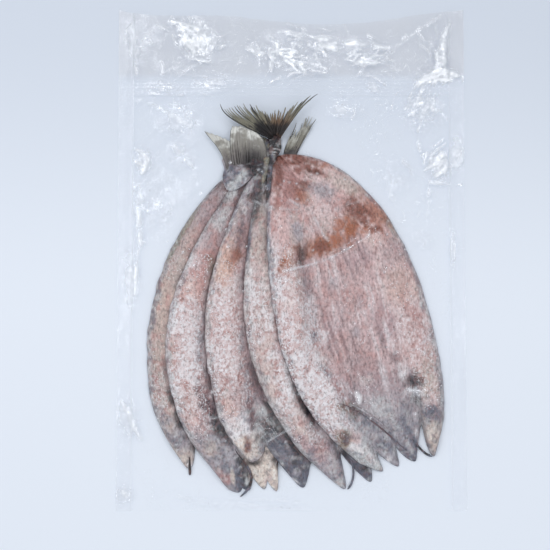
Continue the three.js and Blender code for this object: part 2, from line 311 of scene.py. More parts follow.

# Folds of the film, raised and painted white as highlights: strength, half width in mm and a path in mm
FOLDS = (
    (0.9, 1.0, ((-100, 192), (-88, 190), (-69, 184), (-61, 176))),
    (1.0, 0.9, ((-90, 189), (-80, 183), (-73, 174))),
    (0.8, 0.9, ((-88, 177), (-81, 168), (-79, 161), (-66, 158))),
    (0.6, 0.8, ((-58, 169), (-54, 173))),
    (0.5, 1.6, ((-126, 160), (-125, 149))),
    (0.4, 1.6, ((-105, 158), (-104, 149))),
    (0.6, 1.4, ((-125, 134), (-88, 132))),
    (0.5, 0.9, ((-49, 148), (-45, 136))),
    (0.6, 1.2, ((-33, 172), (-21, 183), (-9, 184), (6, 181))),
    (0.5, 0.9, ((-32, 171), (-26, 165))),
    (0.9, 1.0, ((-11, 170), (-5, 160), (6, 149))),
    (0.8, 0.9, ((-17, 158), (-16, 151))),
    (0.7, 0.9, ((-1, 164), (3, 173))),
    (0.35, 2.0, ((-122, 127), (-110, 123), (-94, 113), (-83, 106))),
    (0.7, 1.2, ((7, 182), (21, 178), (29, 177))),
    (0.8, 1.8, ((26, 171), (49, 174), (78, 170))),
    (0.9, 1.2, ((7, 156), (11, 149))),
    (0.8, 1.2, ((23, 172), (28, 164))),
    (0.7, 1.0, ((24, 155), (33, 152))),
    (0.6, 1.0, ((43, 191), (47, 180))),
    (0.8, 1.0, ((62, 181), (72, 176))),
    (0.7, 1.2, ((54, 158), (68, 157))),
    (0.5, 0.9, ((48, 164), (64, 165))),
    (0.45, 2.2, ((69, 150), (79, 164), (94, 180), (120, 195))),
    (0.5, 0.9, ((73, 151), (89, 152))),
    (0.5, 0.9, ((105, 171), (112, 165), (113, 155))),
    (0.7, 1.6, ((128, 189), (122, 177), (124, 158))),
    (1.0, 1.8, ((102, 140), (116, 151), (125, 152), (139, 145))),
    (1.0, 1.2, ((117, 145), (138, 143))),
    (0.6, 0.9, ((115, 123), (121, 128), (122, 119))),
    (0.6, 1.2, ((102, 102), (104, 86))),
    (0.6, 1.2, ((-127, 88), (-121, 86), (-116, 78), (-120, 68))),
    (0.5, 1.0, ((-125, 78), (-118, 73))),
    (0.6, 1.6, ((-124, 42), (-123, 26), (-121, 10))),
    (0.5, 1.2, ((-119, 12), (-123, 5), (-126, -30))),
    (0.35, 1.6, ((-94, 90), (-85, 80), (-79, 72))),
    (0.9, 1.2, ((127, 87), (121, 85), (117, 76), (107, 70))),
    (0.9, 1.4, ((126, 79), (124, 71), (120, 68), (112, 62))),
    (0.7, 1.6, ((112, 61), (120, 59), (137, 59))),
    (0.6, 1.2, ((111, 55), (110, 35))),
    (0.4, 2.0, ((90, 77), (95, 73), (100, 63))),
    (0.5, 0.9, ((86, 28), (95, 28))),
    (0.5, 1.2, ((131, 12), (131, -1))),
    (0.5, 1.8, ((-136, -115), (-128, -130), (-121, -145))),
    (0.4, 2.0, ((-139, -184), (-131, -190))),
    (0.3, 1.4, ((-110, -182), (-95, -189), (-80, -192))),
    (0.3, 1.2, ((-50, -192), (-20, -193), (16, -195))),
    (0.8, 0.9, ((-16, 38), (-18, 12), (-18, -14), (-14, -28))),
    (1.0, 1.3, ((51, -108), (54, -115))),
    (0.8, 0.8, ((45, -107), (50, -111))),
    (1.0, 0.9, ((91, -105), (96, -107), (102, -107))),
    (0.9, 0.8, ((98, -104), (100, -111))),
    (0.9, 0.8, ((-6, -13), (10, -9), (28, -3), (45, 6), (62, 17), (63, 25))),
    (0.5, 0.7, ((30, 2), (45, 10), (59, 20))),
    (0.7, 0.7, ((-2, 44), (7, 38), (13, 45))),
    (0.7, 0.7, ((16, 33), (22, 22), (29, 11))),
    (0.5, 0.6, ((-8, 36), (5, 36))),
    (0.4, 0.6, ((42, -22), (43, -40), (46, -57))),
    (0.5, 0.6, ((64, -24), (65, -48), (63, -58))),
    (0.4, 0.6, ((35, -61), (35, -76), (33, -92))),
    (0.5, 0.6, ((56, -70), (62, -58), (65, -47))),
    (0.5, 0.8, ((112, -60), (100, -72), (107, -78))),
    (0.5, 0.8, ((100, -72), (108, -66), (118, -70))),
    (0.6, 0.7, ((-19, -146), (-9, -140), (2, -134))),
    (0.5, 0.7, ((-67, -127), (-61, -128), (-55, -127))),
    (0.6, 0.8, ((-40, 46), (-30, 43), (-18, 36))),
    (0.5, 0.7, ((-55, 27), (-48, 36))),
)

# Soft whitish patches painted on the loose film as sheen of the soft light: place in mm, half lengths across
# and along in mm, turn in degrees and strength
VEILS = (
    ((-121, 175), 20, 32, 0, 0.4),
    ((-76, 174), 26, 19, -30, 0.7),
    ((-64, 141), 25, 9, 0, 0.45),
    ((-105, 138), 24, 8, -3, 0.35),
    ((-84, 106), 38, 18, -28, 0.4),
    ((-119, 80), 10, 15, 0, 0.6),
    ((-90, 82), 16, 17, 30, 0.4),
    ((-102, 48), 36, 46, 20, 0.3),
    ((-122, 35), 5, 32, 0, 0.5),
    ((-128, -18), 12, 34, 0, 0.4),
    ((-130, -128), 12, 22, 0, 0.4),
    ((-134, -188), 12, 10, 0, 0.4),
    ((-30, -198), 60, 5, -4, 0.3),
    ((-13, 166), 24, 18, -20, 0.35),
    ((20, 157), 20, 10, 0, 0.3),
    ((40, 173), 42, 9, -4, 0.4),
    ((60, 160), 17, 8, 0, 0.35),
    ((66, 139), 11, 6, -40, 0.4),
    ((124, 172), 7, 22, -8, 0.45),
    ((120, 147), 24, 7, 8, 0.6),
    ((106, 122), 21, 23, 0, 0.35),
    ((40, 119), 21, 10, -10, 0.4),
    ((134, 84), 9, 18, 0, 0.5),
    ((118, 74), 17, 16, 40, 0.45),
    ((84, 64), 19, 19, -40, 0.3),
    ((104, 14), 14, 10, 0, 0.35),
    ((130, 8), 3, 18, 0, 0.5),
)

# Patches of crushed film, their folds and crinkle lines painted white as highlights: place and radius in mm,
# strength, main direction in degrees, count of sharp folds
CRUSHED = (
    ((-76, 176), 17, 1.0, 125, 34),
    ((-92, 190), 12, 0.6, 150, 8),
    ((-20, 166), 15, 0.8, 120, 16),
    ((14, 164), 22, 1.0, 160, 40),
    ((58, 160), 18, 0.8, 20, 26),
    ((116, 172), 10, 0.7, 90, 8),
    ((104, 124), 18, 1.0, 60, 44),
    ((126, 150), 13, 1.0, 172, 16),
    ((117, 76), 15, 0.9, 50, 20),
    ((44, 118), 18, 0.4, 40, 10),
    ((-98, 146), 20, 0.4, 0, 10),
    ((-62, 144), 22, 0.4, 10, 10),
    ((-108, 92), 24, 0.3, 70, 8),
    ((110, 36), 20, 0.4, 110, 8),
    ((-30, 44), 13, 0.3, 140, 8),
    ((26, 30), 22, 0.35, 20, 12),
    ((44, -40), 20, 0.35, 95, 8),
    ((90, -50), 20, 0.4, 70, 10),
    ((62, -112), 18, 0.5, 140, 10),
    ((98, -111), 8, 0.6, 30, 8),
    ((-20, -137), 9, 0.7, 160, 6),
)

# Light that passes the film over the fish and at its loose mouth
CLEARNESS = ((1.0, 1.0, 1.0), (0.968, 0.953, 0.94))


def paint(red, green, blue):
    """Linear colour of a display colour given from 0 to 255."""
    return tuple(((c / 255 + 0.055) / 1.055) ** 2.4 for c in (red, green, blue))


TINTS = (
    ("blush", "Pink grey of the salted flesh", (214, 190, 190)),
    ("shell", "Paler silvery flesh", (216, 203, 203)),
    ("peach", "Warm pale flesh", (218, 184, 170)),
    ("fawn", "Duller brown flesh", (188, 160, 154)),
    ("rose", "Redder flesh", (178, 130, 126)),
    # Pearl is also painted as glints on the flesh
    ("pearl", "Dull white of salt and frost", (238, 234, 238)),
    ("lilac", "Grey lilac of the belly lining", (176, 148, 152)),
    ("mauve", "Greyer flesh towards the tail", (164, 146, 150)),
    ("putty", "Grey cream of the drier flesh", (186, 172, 166)),
    ("plum", "Shade between the fish", (92, 72, 80)),
    ("ash", "Middle grey of the gill covers", (158, 154, 162)),
    # Mist is also painted as glints on the tail stalk and jaws
    ("mist", "Pale grey of the frosted rim", (192, 194, 196)),
    ("umber", "Brown of the dried blood", (116, 62, 46)),
    ("rust", "Orange brown stain", (160, 94, 62)),
    # Ink is also painted as the shadow in the crevices and gaps between the fish
    ("ink", "Near black of the lining by the gills", (26, 25, 30)),
    ("slate", "Blue grey of the skin", (92, 96, 111)),
    ("bark", "Brown at the root of the top tail fin", (122, 88, 60)),
    ("straw", "Yellow cream of the jaw bones", (226, 212, 202)),
    ("olive", "Olive grey of the tail rays", (142, 139, 122)),
    ("soot", "Grey brown at the root of the softer fins", (138, 131, 130)),
    ("sedge", "Olive cream of the softer fins", (154, 150, 146)),
    ("reed", "Pale cream of the softer fins", (232, 232, 229)),
    ("film", "White of the light that the film throws back", (246, 249, 255)),
    ("floor", "Pale blue white of the floor", (232, 238, 248)),
    # Painted shade: the floor is painted darker beyond the mouth of the bag
    ("far_floor", "Floor beyond the mouth of the bag", (212, 219, 231)),
)


def smooth(low, high, value):
    """Soft step from 0 at low to 1 at high."""
    t = np.clip((value - low) / (high - low), 0, 1)
    return t * t * (3 - 2 * t)


def cloud(x, y, size, seed, layers=3):
    """Smooth random field from about -1 to 1, with lumps of the given size."""
    rng = np.random.default_rng(seed)
    total = np.zeros(np.broadcast(x, y).shape)
    weight = 0
    for layer in range(layers):
        table = rng.uniform(-1, 1, (64, 64))
        step = size / 2 ** layer
        u = x / step + 17.3 * layer
        v = y / step + 5.1 * layer
        i = np.floor(u).astype(int)
        j = np.floor(v).astype(int)
        fu = smooth(0, 1, u - i)
        fv = smooth(0, 1, v - j)
        low = table[j % 64, i % 64] * (1 - fu) + table[j % 64, (i + 1) % 64] * fu
        high = table[(j + 1) % 64, i % 64] * (1 - fu) + table[(j + 1) % 64, (i + 1) % 64] * fu
        total += (low * (1 - fv) + high * fv) * 0.5 ** layer
        weight += 0.5 ** layer
    return total / weight


def patches(place, size, seed, layers=3):
    """The random field at places in mm."""
    return cloud(place[..., 0], place[..., 1], size, seed, layers)


def curve_points(points, share):
    """Places on a cubic curve with four control points."""
    p = np.asarray(points, float)
    t = np.asarray(share, float)[..., None]
    return (1 - t) ** 3 * p[0] + 3 * (1 - t) ** 2 * t * p[1] + 3 * (1 - t) * t ** 2 * p[2] + t ** 3 * p[3]


class PackSizes(bpy.types.PropertyGroup):
    """Sizes of the fish and the film."""

    fish_thickness: bpy.props.FloatProperty(
        name="Fish thickness", description="Thickest part of an opened fish",
        default=12 * MM, min=6 * MM, max=20 * MM, unit="LENGTH")
    belly_share: bpy.props.FloatProperty(
        name="Belly share", description="Thickness of the belly wall as a share of the back strips",
        default=0.45, min=0.2, max=1, subtype="FACTOR")
    seal_line: bpy.props.FloatProperty(
        name="Seal line", description="Place of the heat seal along the bag",
        default=138 * MM, unit="LENGTH")
    seal_width: bpy.props.FloatProperty(
        name="Seal width", description="Width of the heat seal",
        default=13 * MM, min=3 * MM, max=30 * MM, unit="LENGTH")
    side_seal: bpy.props.FloatProperty(
        name="Side seal", description="Width of the seals along the sides",
        default=12 * MM, min=3 * MM, max=30 * MM, unit="LENGTH")
    mouth_dip: bpy.props.FloatProperty(
        name="Mouth dip", description="How far the mouth edge dips between its corners",
        default=13 * MM, unit="LENGTH")
    grain_size: bpy.props.FloatProperty(
        name="Salt grain", description="Width of a common salt grain",
        default=0.9 * MM, min=0.3 * MM, max=3 * MM, unit="LENGTH")
    grain_count: bpy.props.IntProperty(
        name="Salt grains", description="How many salt grains are thrown on the flesh",
        default=5200, min=0, max=9000)


class PackColours(bpy.types.PropertyGroup):
    """Tints of the fish, the film and the floor."""

    __annotations__ = {
        name: bpy.props.FloatVectorProperty(
            name=name.title(), description=words, subtype="COLOR", size=3, min=0, max=1, default=paint(*rgb))
        for name, words, rgb in TINTS
    }


def sizes():
    return bpy.context.scene.pack_sizes


def tint(name):
    return np.array(getattr(bpy.context.scene.pack_colours, name))


def mix(first, second, share):
    """Blend of two tints, each one colour or one for each point."""
    share = np.asarray(share)[..., None]
    return first * (1 - share) + second * share


class HeightMap:
    """Heights in mm over the bag, on a square grid, raised as each piece is laid down."""

    STEP = 1.0

    def __init__(self):
        self.across = int(round((BAG_HIGH[0] - BAG_LOW[0]) / self.STEP)) + 1
        self.along = int(round((BAG_HIGH[1] - BAG_LOW[1]) / self.STEP)) + 1
        self.height = np.zeros((self.along, self.across))
        self.owner = np.full((self.along, self.across), -1)

    def cells(self, place):
        i = (place[..., 0] - BAG_LOW[0]) / self.STEP
        j = (place[..., 1] - BAG_LOW[1]) / self.STEP
        return np.clip(i, 0, self.across - 1.001), np.clip(j, 0, self.along - 1.001)

    def read(self, place, field=None):
        field = self.height if field is None else field
        i, j = self.cells(place)
        a = i.astype(int)
        b = j.astype(int)
        fi = i - a
        fj = j - b
        low = field[b, a] * (1 - fi) + field[b, a + 1] * fi
        high = field[b + 1, a] * (1 - fi) + field[b + 1, a + 1] * fi
        return low * (1 - fj) + high * fj

    def nearest(self, place):
        i, j = self.cells(place)
        return np.round(j).astype(int), np.round(i).astype(int)

    def owned_by(self, place):
        return self.owner[self.nearest(place)]

    def raise_to(self, place, top, owner):
        rows, columns = self.nearest(place)
        before = self.height.copy()
        np.maximum.at(self.height, (rows.ravel(), columns.ravel()), top.ravel())
        self.owner[self.height > before] = owner

    def spread(self, field, passes):
        """The field blurred by its neighbours."""
        for _ in range(passes):
            around = field[:-2, 1:-1] + field[2:, 1:-1] + field[1:-1, :-2] + field[1:-1, 2:]
            field = field.copy()
            field[1:-1, 1:-1] = 0.25 * around
        return field

    def settled(self, floor, passes):
        """A skin drawn tight over the floor heights, which it never goes below."""
        skin = floor.copy()
        for _ in range(passes):
            skin = np.maximum(floor, self.spread(skin, 1))
        return skin


LAID = HeightMap()
WAITING = []

# Numbers under which the tails and the salt are laid, above those of the fish
TAIL_OWNER = 900
SALT_OWNER = 99


class OpenFish:
    """Outline, thickness and tints of one opened fish: shares of its length and half width, sizes in mm."""

    LENGTH = 250
    WIDTH = 120
    NOTCH_END = 0.88
    JAW_DRAW = (0.7, 1)
    RAGGED = 0.008
    CAVITY_START = (0.26, 0.4)
    CAVITY_END = (0.76, 0.9)
    BELLY_EDGE = (0.4, 0.7)
    STRIP_CENTRE = 0.72
    STRIP_HALF = 0.28
    STRIP_ROUND = 0.3
    TAIL_SHARE = 0.45
    TAIL_THICKENS = (0.05, 0.5)
    TAIL_ROUND = 0.02
    TIP_SHARE = 0.42
    TIP_THINS = (0.72, 1)
    TIP_ROUND = 0.05
    SPLIT_GROOVE = 1.6
    GROOVE_HALF = 0.06
    FLAKE = 5.5
    RIB_SPACING = 11

    def __init__(self, layer):
        edge, self.salt, self.upper, self.lower = FAN[layer]
        self.layer = layer
        self.left = np.asarray(edge, float)
        run = self.left[3] - self.left[0]
        run = run / np.hypot(*run)
        side = np.array((-run[1], run[0]))
        self.right = np.array([p + side * s[0] + run * s[1] for p, s in zip(self.left, SPREAD)])
        self.seed = 40 * layer

    def lobe(self, width):
        """1 at each jaw tip, falling to 0 in the notches between."""
        nearest = np.min([np.abs(width - row[0]) / row[1] for row in LOBES[self.layer]], 0)
        return (1 - np.minimum(1, nearest) ** 1.9) ** 0.7

    def end(self, width):
        return self.NOTCH_END + (1 - self.NOTCH_END) * self.lobe(width)

    def laid(self, along, width):
        left = curve_points(self.left, along)
        return left + (curve_points(self.right, along) - left) * np.asarray(width)[..., None]

    def place(self, along, width):
        """Places in mm, with a wavy edge, drawn to the jaw tips at the lower end."""
        run = along * self.LENGTH
        left = cloud(run, 0 * run, 9, self.seed + 6)
        right = cloud(run, 0 * run, 11, self.seed + 7)
        place = self.laid(along, width + self.RAGGED * (left * (1 - width) + right * width))
        late = smooth(*self.JAW_DRAW, along / self.end(width))
        pulls = [np.exp(-((width - spot) / half) ** 2) for spot, half, *_ in LOBES[self.layer]]
        share = late / np.maximum(1, np.sum(pulls, 0))
        for pull, (spot, _, tip, *_) in zip(pulls, LOBES[self.layer]):
            place = place + (share * pull)[..., None] * (np.array(tip) - self.laid(1.0, spot))
        return place

    def cavity(self, along):
        return smooth(*self.CAVITY_START, along) * (1 - smooth(*self.CAVITY_END, along))

    def thickness(self, along, width):
        off = np.abs(2 * width - 1)
        belly = 1 - (1 - sizes().belly_share) * self.cavity(along) * (1 - smooth(*self.BELLY_EDGE, off))
        strip = 1 - self.STRIP_ROUND * np.minimum(1, ((off - self.STRIP_CENTRE) / self.STRIP_HALF) ** 2)
        rim = np.sqrt(np.maximum(0, 1 - off ** 6)) * strip
        tail = self.TAIL_SHARE + (1 - self.TAIL_SHARE) * smooth(*self.TAIL_THICKENS, along)
        head = 1 + (self.TIP_SHARE - 1) * smooth(*self.TIP_THINS, along)
        tip = np.sqrt(np.clip((self.end(width) - along) / self.TIP_ROUND, 0, 1))
        start = np.sqrt(np.clip(along / self.TAIL_ROUND, 0, 1))
        groove = self.SPLIT_GROOVE * np.exp(-(off / self.GROOVE_HALF) ** 2)
        groove = groove * (1 - self.cavity(along)) * start * tip
        flesh = sizes().fish_thickness / MM * belly * rim * tail * head * tip * start
        return np.maximum(0, flesh - groove)

    def relief(self, along, width):
        """Lumps, flakes and rib lines of the flesh, in mm."""
        off = np.abs(2 * width - 1)
        run = along * self.LENGTH
        side = (width - 0.5) * self.WIDTH
        lumps = 0.8 * cloud(run, side, 17, self.seed + 1)
        strip = smooth(0.45, 0.6, off) * (1 - smooth(0.9, 0.98, off))
        bend = run + 26 * np.abs(off - self.STRIP_CENTRE) + 2.2 * cloud(run, side, 14, self.seed + 2)
        flakes = 0.32 * np.abs((bend / self.FLAKE) % 1 - 0.5) * strip
        ribs = (side + 0.35 * run + 1.4 * cloud(run, side, 22, self.seed + 3)) / self.RIB_SPACING
        rib_lines = 0.5 * np.exp(-((ribs % 1 - 0.5) / 0.07) ** 2) * self.cavity(along) * (1 - strip)
        grain = 0.45 * cloud(run, side, 4.5, self.seed + 4, 2) * (0.4 + self.salt * strip)
        return (lumps + flakes + rib_lines + grain) * smooth(0, 0.1, 1 - off)

    def strip_tint(self, along, side, place):
        """Tint of the thick back flesh."""
        broad = patches(place, 26, self.seed + 11)
        patchy = patches(place, 8, self.seed + 12)
        streaks = cloud(0.3 * along * self.LENGTH, side, 6, self.seed + 15)
        upper = 1 - smooth(0.2, 0.45, along + 0.08 * broad)
        colour = mix(tint(self.lower), tint("peach"), 0.3 * smooth(0.0, 0.5, broad))
        colour = mix(colour, tint(self.upper), upper)
        colour = mix(colour, tint("rose"), 0.4 * smooth(0.1, 0.45, streaks - 0.2 * broad))
        colour = mix(colour, tint("putty"), 0.6 * smooth(0.1, 0.5, -streaks))
        fine = patches(place, 3.2, self.seed + 18)
        colour = mix(colour, tint("rose"), 0.6 * smooth(0.1, 0.45, -fine))
        edge = smooth(-30, -56, side)
        frost = min(1, self.salt) * smooth(0.32 - 0.14 * edge, 0.6 - 0.24 * edge, along)
        frost = frost * (1 - 0.85 * smooth(0, 20, side))
        grains = 0.5 * patchy + 0.6 * fine - broad + 0.4 * (self.salt - 0.8)
        return mix(colour, tint("pearl"), 0.85 * frost * smooth(-0.25, 0.32, grains))

    def tints(self, along, width, place):
        """Tint of the flesh at each point, and its share of salt."""
        off = np.abs(2 * width - 1)
        side = (width - 0.5) * self.WIDTH
        broad = patches(place, 26, self.seed + 11)
        patchy = patches(place, 8, self.seed + 12)
        fine = patches(place, 2.4, self.seed + 14)
        streaks = cloud(0.22 * along * self.LENGTH, side, 5, self.seed + 13)
        belly = mix(tint("lilac"), tint("blush"), 0.5 * smooth(-0.3, 0.3, broad))
        belly = mix(belly, tint("rose"), 0.55 * smooth(-0.05, 0.5, patchy))
        belly = mix(belly, tint("pearl"), 0.25 * smooth(0.15, 0.5, streaks))
        lines = cloud(0.1 * along * self.LENGTH, side, 2.6, self.seed + 16, 2)
        belly = mix(belly, tint("pearl"), 0.45 * smooth(0.25, 0.55, lines))
        belly = mix(belly, tint("plum"), 0.5 * smooth(0.2, 0.55, -lines))
        cavity = self.cavity(along)
        inner = cavity * (1 - smooth(0.4, 0.6, off + 0.12 * patchy))
        colour = mix(self.strip_tint(along, side, place), belly, inner)
        seam = cavity * np.exp(-((off - 0.52 + 0.08 * broad) / 0.05) ** 2) * smooth(20, 0, side)
        colour = mix(colour, tint("slate"), 0.65 * seam * smooth(-0.3, 0.4, patchy))
        gill = smooth(0.68, 0.8, along + 0.04 * broad) * (1 - smooth(0.5, 0.75, off))
        colour = mix(colour, tint("ash"), 0.7 * gill)
        colour = mix(colour, tint("slate"), 0.65 * gill * smooth(-0.1, 0.4, patchy))
        late = along / self.end(width) + 0.06 * patchy
        for spot, half, _, first, second in LOBES[self.layer]:
            near = np.exp(-((width - spot) / half) ** 4)
            colour = mix(colour, tint(first), 0.85 * near * smooth(0.8, 0.88, late))
            colour = mix(colour, tint(second), 0.9 * near * smooth(0.9, 0.96, late))
        colour = mix(colour, tint("slate"), 0.6 * smooth(0.975, 0.995, late))
        outer = self.layer in (0, len(FAN) - 1)
        first = 0.9 if outer else 0.88
        rim = smooth(first, first + 0.06, off + 0.07 * patchy)
        pale = smooth(-0.2, 0.3, fine) if outer else smooth(-0.5, 0.0, fine)
        colour = mix(colour, mix(tint("slate"), tint("mist"), pale), 0.7 * rim)
        tail = (self.layer < len(FAN) - 1) * (1 - smooth(0.06, 0.24, along + 0.1 * patchy))
        root = mix(tint("ash"), tint("mist"), smooth(0.0, 0.3, fine))
        colour = mix(colour, mix(root, tint("ink"), smooth(-0.02, 0.3, patchy)), 0.85 * tail)
        salt = 1.4 * min(1, self.salt) * smooth(0.35, 0.65, off)
        salt = salt * smooth(-0.5, 0.3, -broad) * smooth(0.3, 0.5, along)
        salt = 0.12 + salt * (1 - smooth(0, 20, side) * (1 - 0.2 * smooth(0.5, 0.62, along)))
        return colour, salt * (1 - tail) * (1 - 0.85 * smooth(0.8, 0.9, late))

    def mottle(self, colour, along, width, place):
        """Pale and dark mottling of the jaws and gill covers."""
        fine = patches(place, 3.4, self.seed + 17)
        jaw = smooth(0.72, 0.86, along / self.end(width))
        colour = mix(colour, tint("mist"), 0.45 * jaw * smooth(0.12, 0.5, fine))
        return mix(colour, tint("slate"), 0.5 * jaw * smooth(0.12, 0.5, -fine))


def oval(x, y, across, along, turn):
    """Distance from the middle of a turned oval, 1 at its rim."""
    angle = math.radians(turn)
    right = x * math.cos(angle) + y * math.sin(angle)
    up = y * math.cos(angle) - x * math.sin(angle)
    return np.hypot(right / across, up / along)


def blot_over(colour, layer, place):
    """Stains, painted shade and painted glints of one fish laid over its tints."""
    ragged = 0.4 * patches(place, 7, 300 + layer)
    ragged += 0.4 * patches(place, 2.8, 330 + layer, 2)
    for fish, (x, y), across, along, turn, name, strength in BLOTS:
        if fish == layer:
            off = oval(place[..., 0] - x, place[..., 1] - y, across, along, turn) + ragged
            colour = mix(colour, tint(name), strength * (1 - smooth(0.25, 1.15, off)))
    return colour


def skin_tints(along, width):
    """Underside skin: dark wavy bars over a blue grey back, silver towards the belly."""
    off = np.abs(2 * width - 1)
    run = along * OpenFish.LENGTH
    side = off * OpenFish.WIDTH / 2
    wave = np.sin((run + 3 * np.sin(side / 5) + 4 * cloud(run, side, 16, 5)) / 1.6)
    back = mix(tint("slate"), tint("ink"), 0.8 * smooth(-0.1, 0.5, wave) * smooth(0.55, 0.7, off))
    return mix(tint("mist"), back, smooth(0.35, 0.65, off + 0.1 * cloud(run, side, 14, 6)))


def add_piece(name, points, faces, material, marks=None, smooth_faces=True):
    """New mesh object from points in mm, riding on the pack, with its marks on the points."""
    mesh = bpy.data.meshes.new(name)
    mesh.from_pydata((np.asarray(points) * MM).tolist(), [], [list(map(int, face)) for face in faces])
    mesh.polygons.foreach_set("use_smooth", [smooth_faces] * len(mesh.polygons))
    for label, values in (marks or {}).items():
        values = np.asarray(values, np.float32)
        if values.ndim == 2:
            layer = mesh.attributes.new(label, "FLOAT_COLOR", "POINT")
            layer.data.foreach_set("color", np.concatenate([values, np.ones((len(values), 1))], 1).ravel())
        else:
            layer = mesh.attributes.new(label, "FLOAT", "POINT")
            layer.data.foreach_set("value", values)
    mesh.materials.append(material)
    piece = bpy.data.objects.new(name, mesh)
    bpy.context.scene.collection.objects.link(piece)
    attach(piece, "root")
    return piece


def sheet_faces(index, flip=False):
    """Quads between the points of a grid of point numbers."""
    quads = np.stack([index[:-1, :-1], index[:-1, 1:], index[1:, 1:], index[1:, :-1]], -1).reshape(-1, 4)
    return quads[:, ::-1] if flip else quads


def grid_index(rows, columns):
    return np.arange(rows * columns).reshape(rows, columns)


class Slab:
    """A flat piece of flesh laid on what is below it: a top and an underside that meet at the rim."""

    CLEARANCE = 0.35
    THINNEST = 0.25
    BED_PASSES = 60

    def __init__(self, place, thickness, flip):
        self.border = np.ones(thickness.shape, bool)
        self.border[1:-1, 1:-1] = False
        self.bed = LAID.settled(LAID.height, self.BED_PASSES)
        low = LAID.read(place, self.bed) + self.CLEARANCE
        high = low + np.where(self.border, 0, np.maximum(self.THINNEST, thickness))
        top = np.concatenate([place, high[..., None]], -1)
        under = np.concatenate([place, low[..., None]], -1)
        top_index = grid_index(*thickness.shape)
        under_index = top_index.copy()
        under_index[~self.border] = top_index.size + np.arange((~self.border).sum())
        self.points = np.concatenate([top.reshape(-1, 3), under[~self.border]])
        self.faces = np.concatenate([sheet_faces(top_index, flip), sheet_faces(under_index, not flip)])

    def both(self, top, under):
        """A mark for the top points followed by one for the underside points."""
        shape = (-1, top.shape[-1]) if top.ndim == 3 else (-1,)
        return np.concatenate([top.reshape(shape), under[~self.border]])


def put_down(name, slab, colour, salt, fine_place, fine_thickness):
    """Keep a slab until all are laid, because its tints depend on what covers it."""
    order = len(WAITING)
    WAITING.append((name, slab, colour, salt))
    LAID.raise_to(fine_place, LAID.read(fine_place, slab.bed) + slab.CLEARANCE + fine_thickness, order)


# How often the mask of what covers a slab is blurred for its painted shade, the painted shadow at its edge
# and the painted shadow pooled in the gaps
SHADE_PASSES = 40
CREVICE_SHADOW_PASSES = 6
GAP_SHADOW_PASSES = 26


def finish_slabs(material):
    """Make the waiting slabs into pieces, with shade painted darker where another slab covers them close by.
    """
    for order, (name, slab, colour, salt) in enumerate(WAITING):
        cover = (LAID.owner > order).astype(float)
        place = slab.points[:, :2]
        broken = patches(place, 11, 500 + order)
        # Painted shade: plum laid on the flesh near a slab that covers it
        shade = smooth(0.05, 0.5, LAID.read(place, LAID.spread(cover, SHADE_PASSES)))
        colour = mix(colour, tint("plum"), 0.4 * shade * smooth(-0.6, 0.4, broken))
        # Painted shadow: ink in the crevice at the edge of a covering slab and pooled in the gaps, darker
        # lower down the pack
        low = smooth(-70, -120, place[:, 1])
        crevice_shadow = smooth(0.12, 0.45, LAID.read(place, LAID.spread(cover, CREVICE_SHADOW_PASSES)))
        crevice_shadow = crevice_shadow * smooth(-0.3, 0.25, broken + 0.25 * (low - 1))
        gap_shadow = smooth(0.08, 0.3, LAID.read(place, LAID.spread(cover, GAP_SHADOW_PASSES)))
        gap_shadow = gap_shadow * smooth(-0.4, 0.1, broken) * low
        colour = mix(colour, tint("ink"), 0.85 * np.maximum(crevice_shadow * (0.28 + 0.72 * low), gap_shadow))
        marks = {"tint": colour, "salt": salt * (1 - shade)}
        add_piece(name, slab.points, slab.faces, material, marks)


class Wiring:
    """Short way to place and join shader nodes."""

    def __init__(self, tree):
        self.tree = tree

    def put(self, kind, inputs=None, **settings):
        node = self.tree.nodes.new(kind)
        for name, value in settings.items():
            setattr(node, name, value)
        for name, value in (inputs or {}).items():
            socket = node.inputs[name]
            if isinstance(value, bpy.types.NodeSocket):
                self.tree.links.new(value, socket)
            elif socket.type == "RGBA":
                socket.default_value = (*value, 1)[:4]
            else:
                socket.default_value = value
        return node

    def math(self, operation, first, second, third=0.0):
        return self.put("ShaderNodeMath", {0: first, 1: second, 2: third}, operation=operation).outputs[0]

    def times(self, first, second):
        return self.math("MULTIPLY", first, second)

    def vector(self, operation, inputs):
        return self.put("ShaderNodeVectorMath", inputs, operation=operation).outputs[0]

    def span(self, value, low, high, to_low=0.0, to_high=1.0):
        limits = {0: value, 1: low, 2: high, 3: to_low, 4: to_high}
        return self.put("ShaderNodeMapRange", limits, interpolation_type="SMOOTHSTEP").outputs[0]

    def blend(self, share, first, second):
        return self.put("ShaderNodeMix", {0: share, 6: first, 7: second}, data_type="RGBA").outputs[2]

    def noise(self, where, scale, detail=3.0, roughness=0.55, distortion=0.0):
        values = {"Vector": where, "Scale": scale, "Detail": detail, "Roughness": roughness}
        values["Distortion"] = distortion
        return self.put("ShaderNodeTexNoise", values).outputs["Fac"]

    def mark(self, name, output="Fac"):
        return self.put("ShaderNodeAttribute", attribute_name=name).outputs[output]

    def place(self):
        return self.put("ShaderNodeTexCoord").outputs["Object"]

    def show(self, shader):
        self.put("ShaderNodeOutputMaterial", {"Surface": shader})


def new_material(name):
    """Empty node material and its wiring."""
    material = bpy.data.materials.new(name)
    material.use_nodes = True
    material.node_tree.nodes.clear()
    return material, Wiring(material.node_tree)


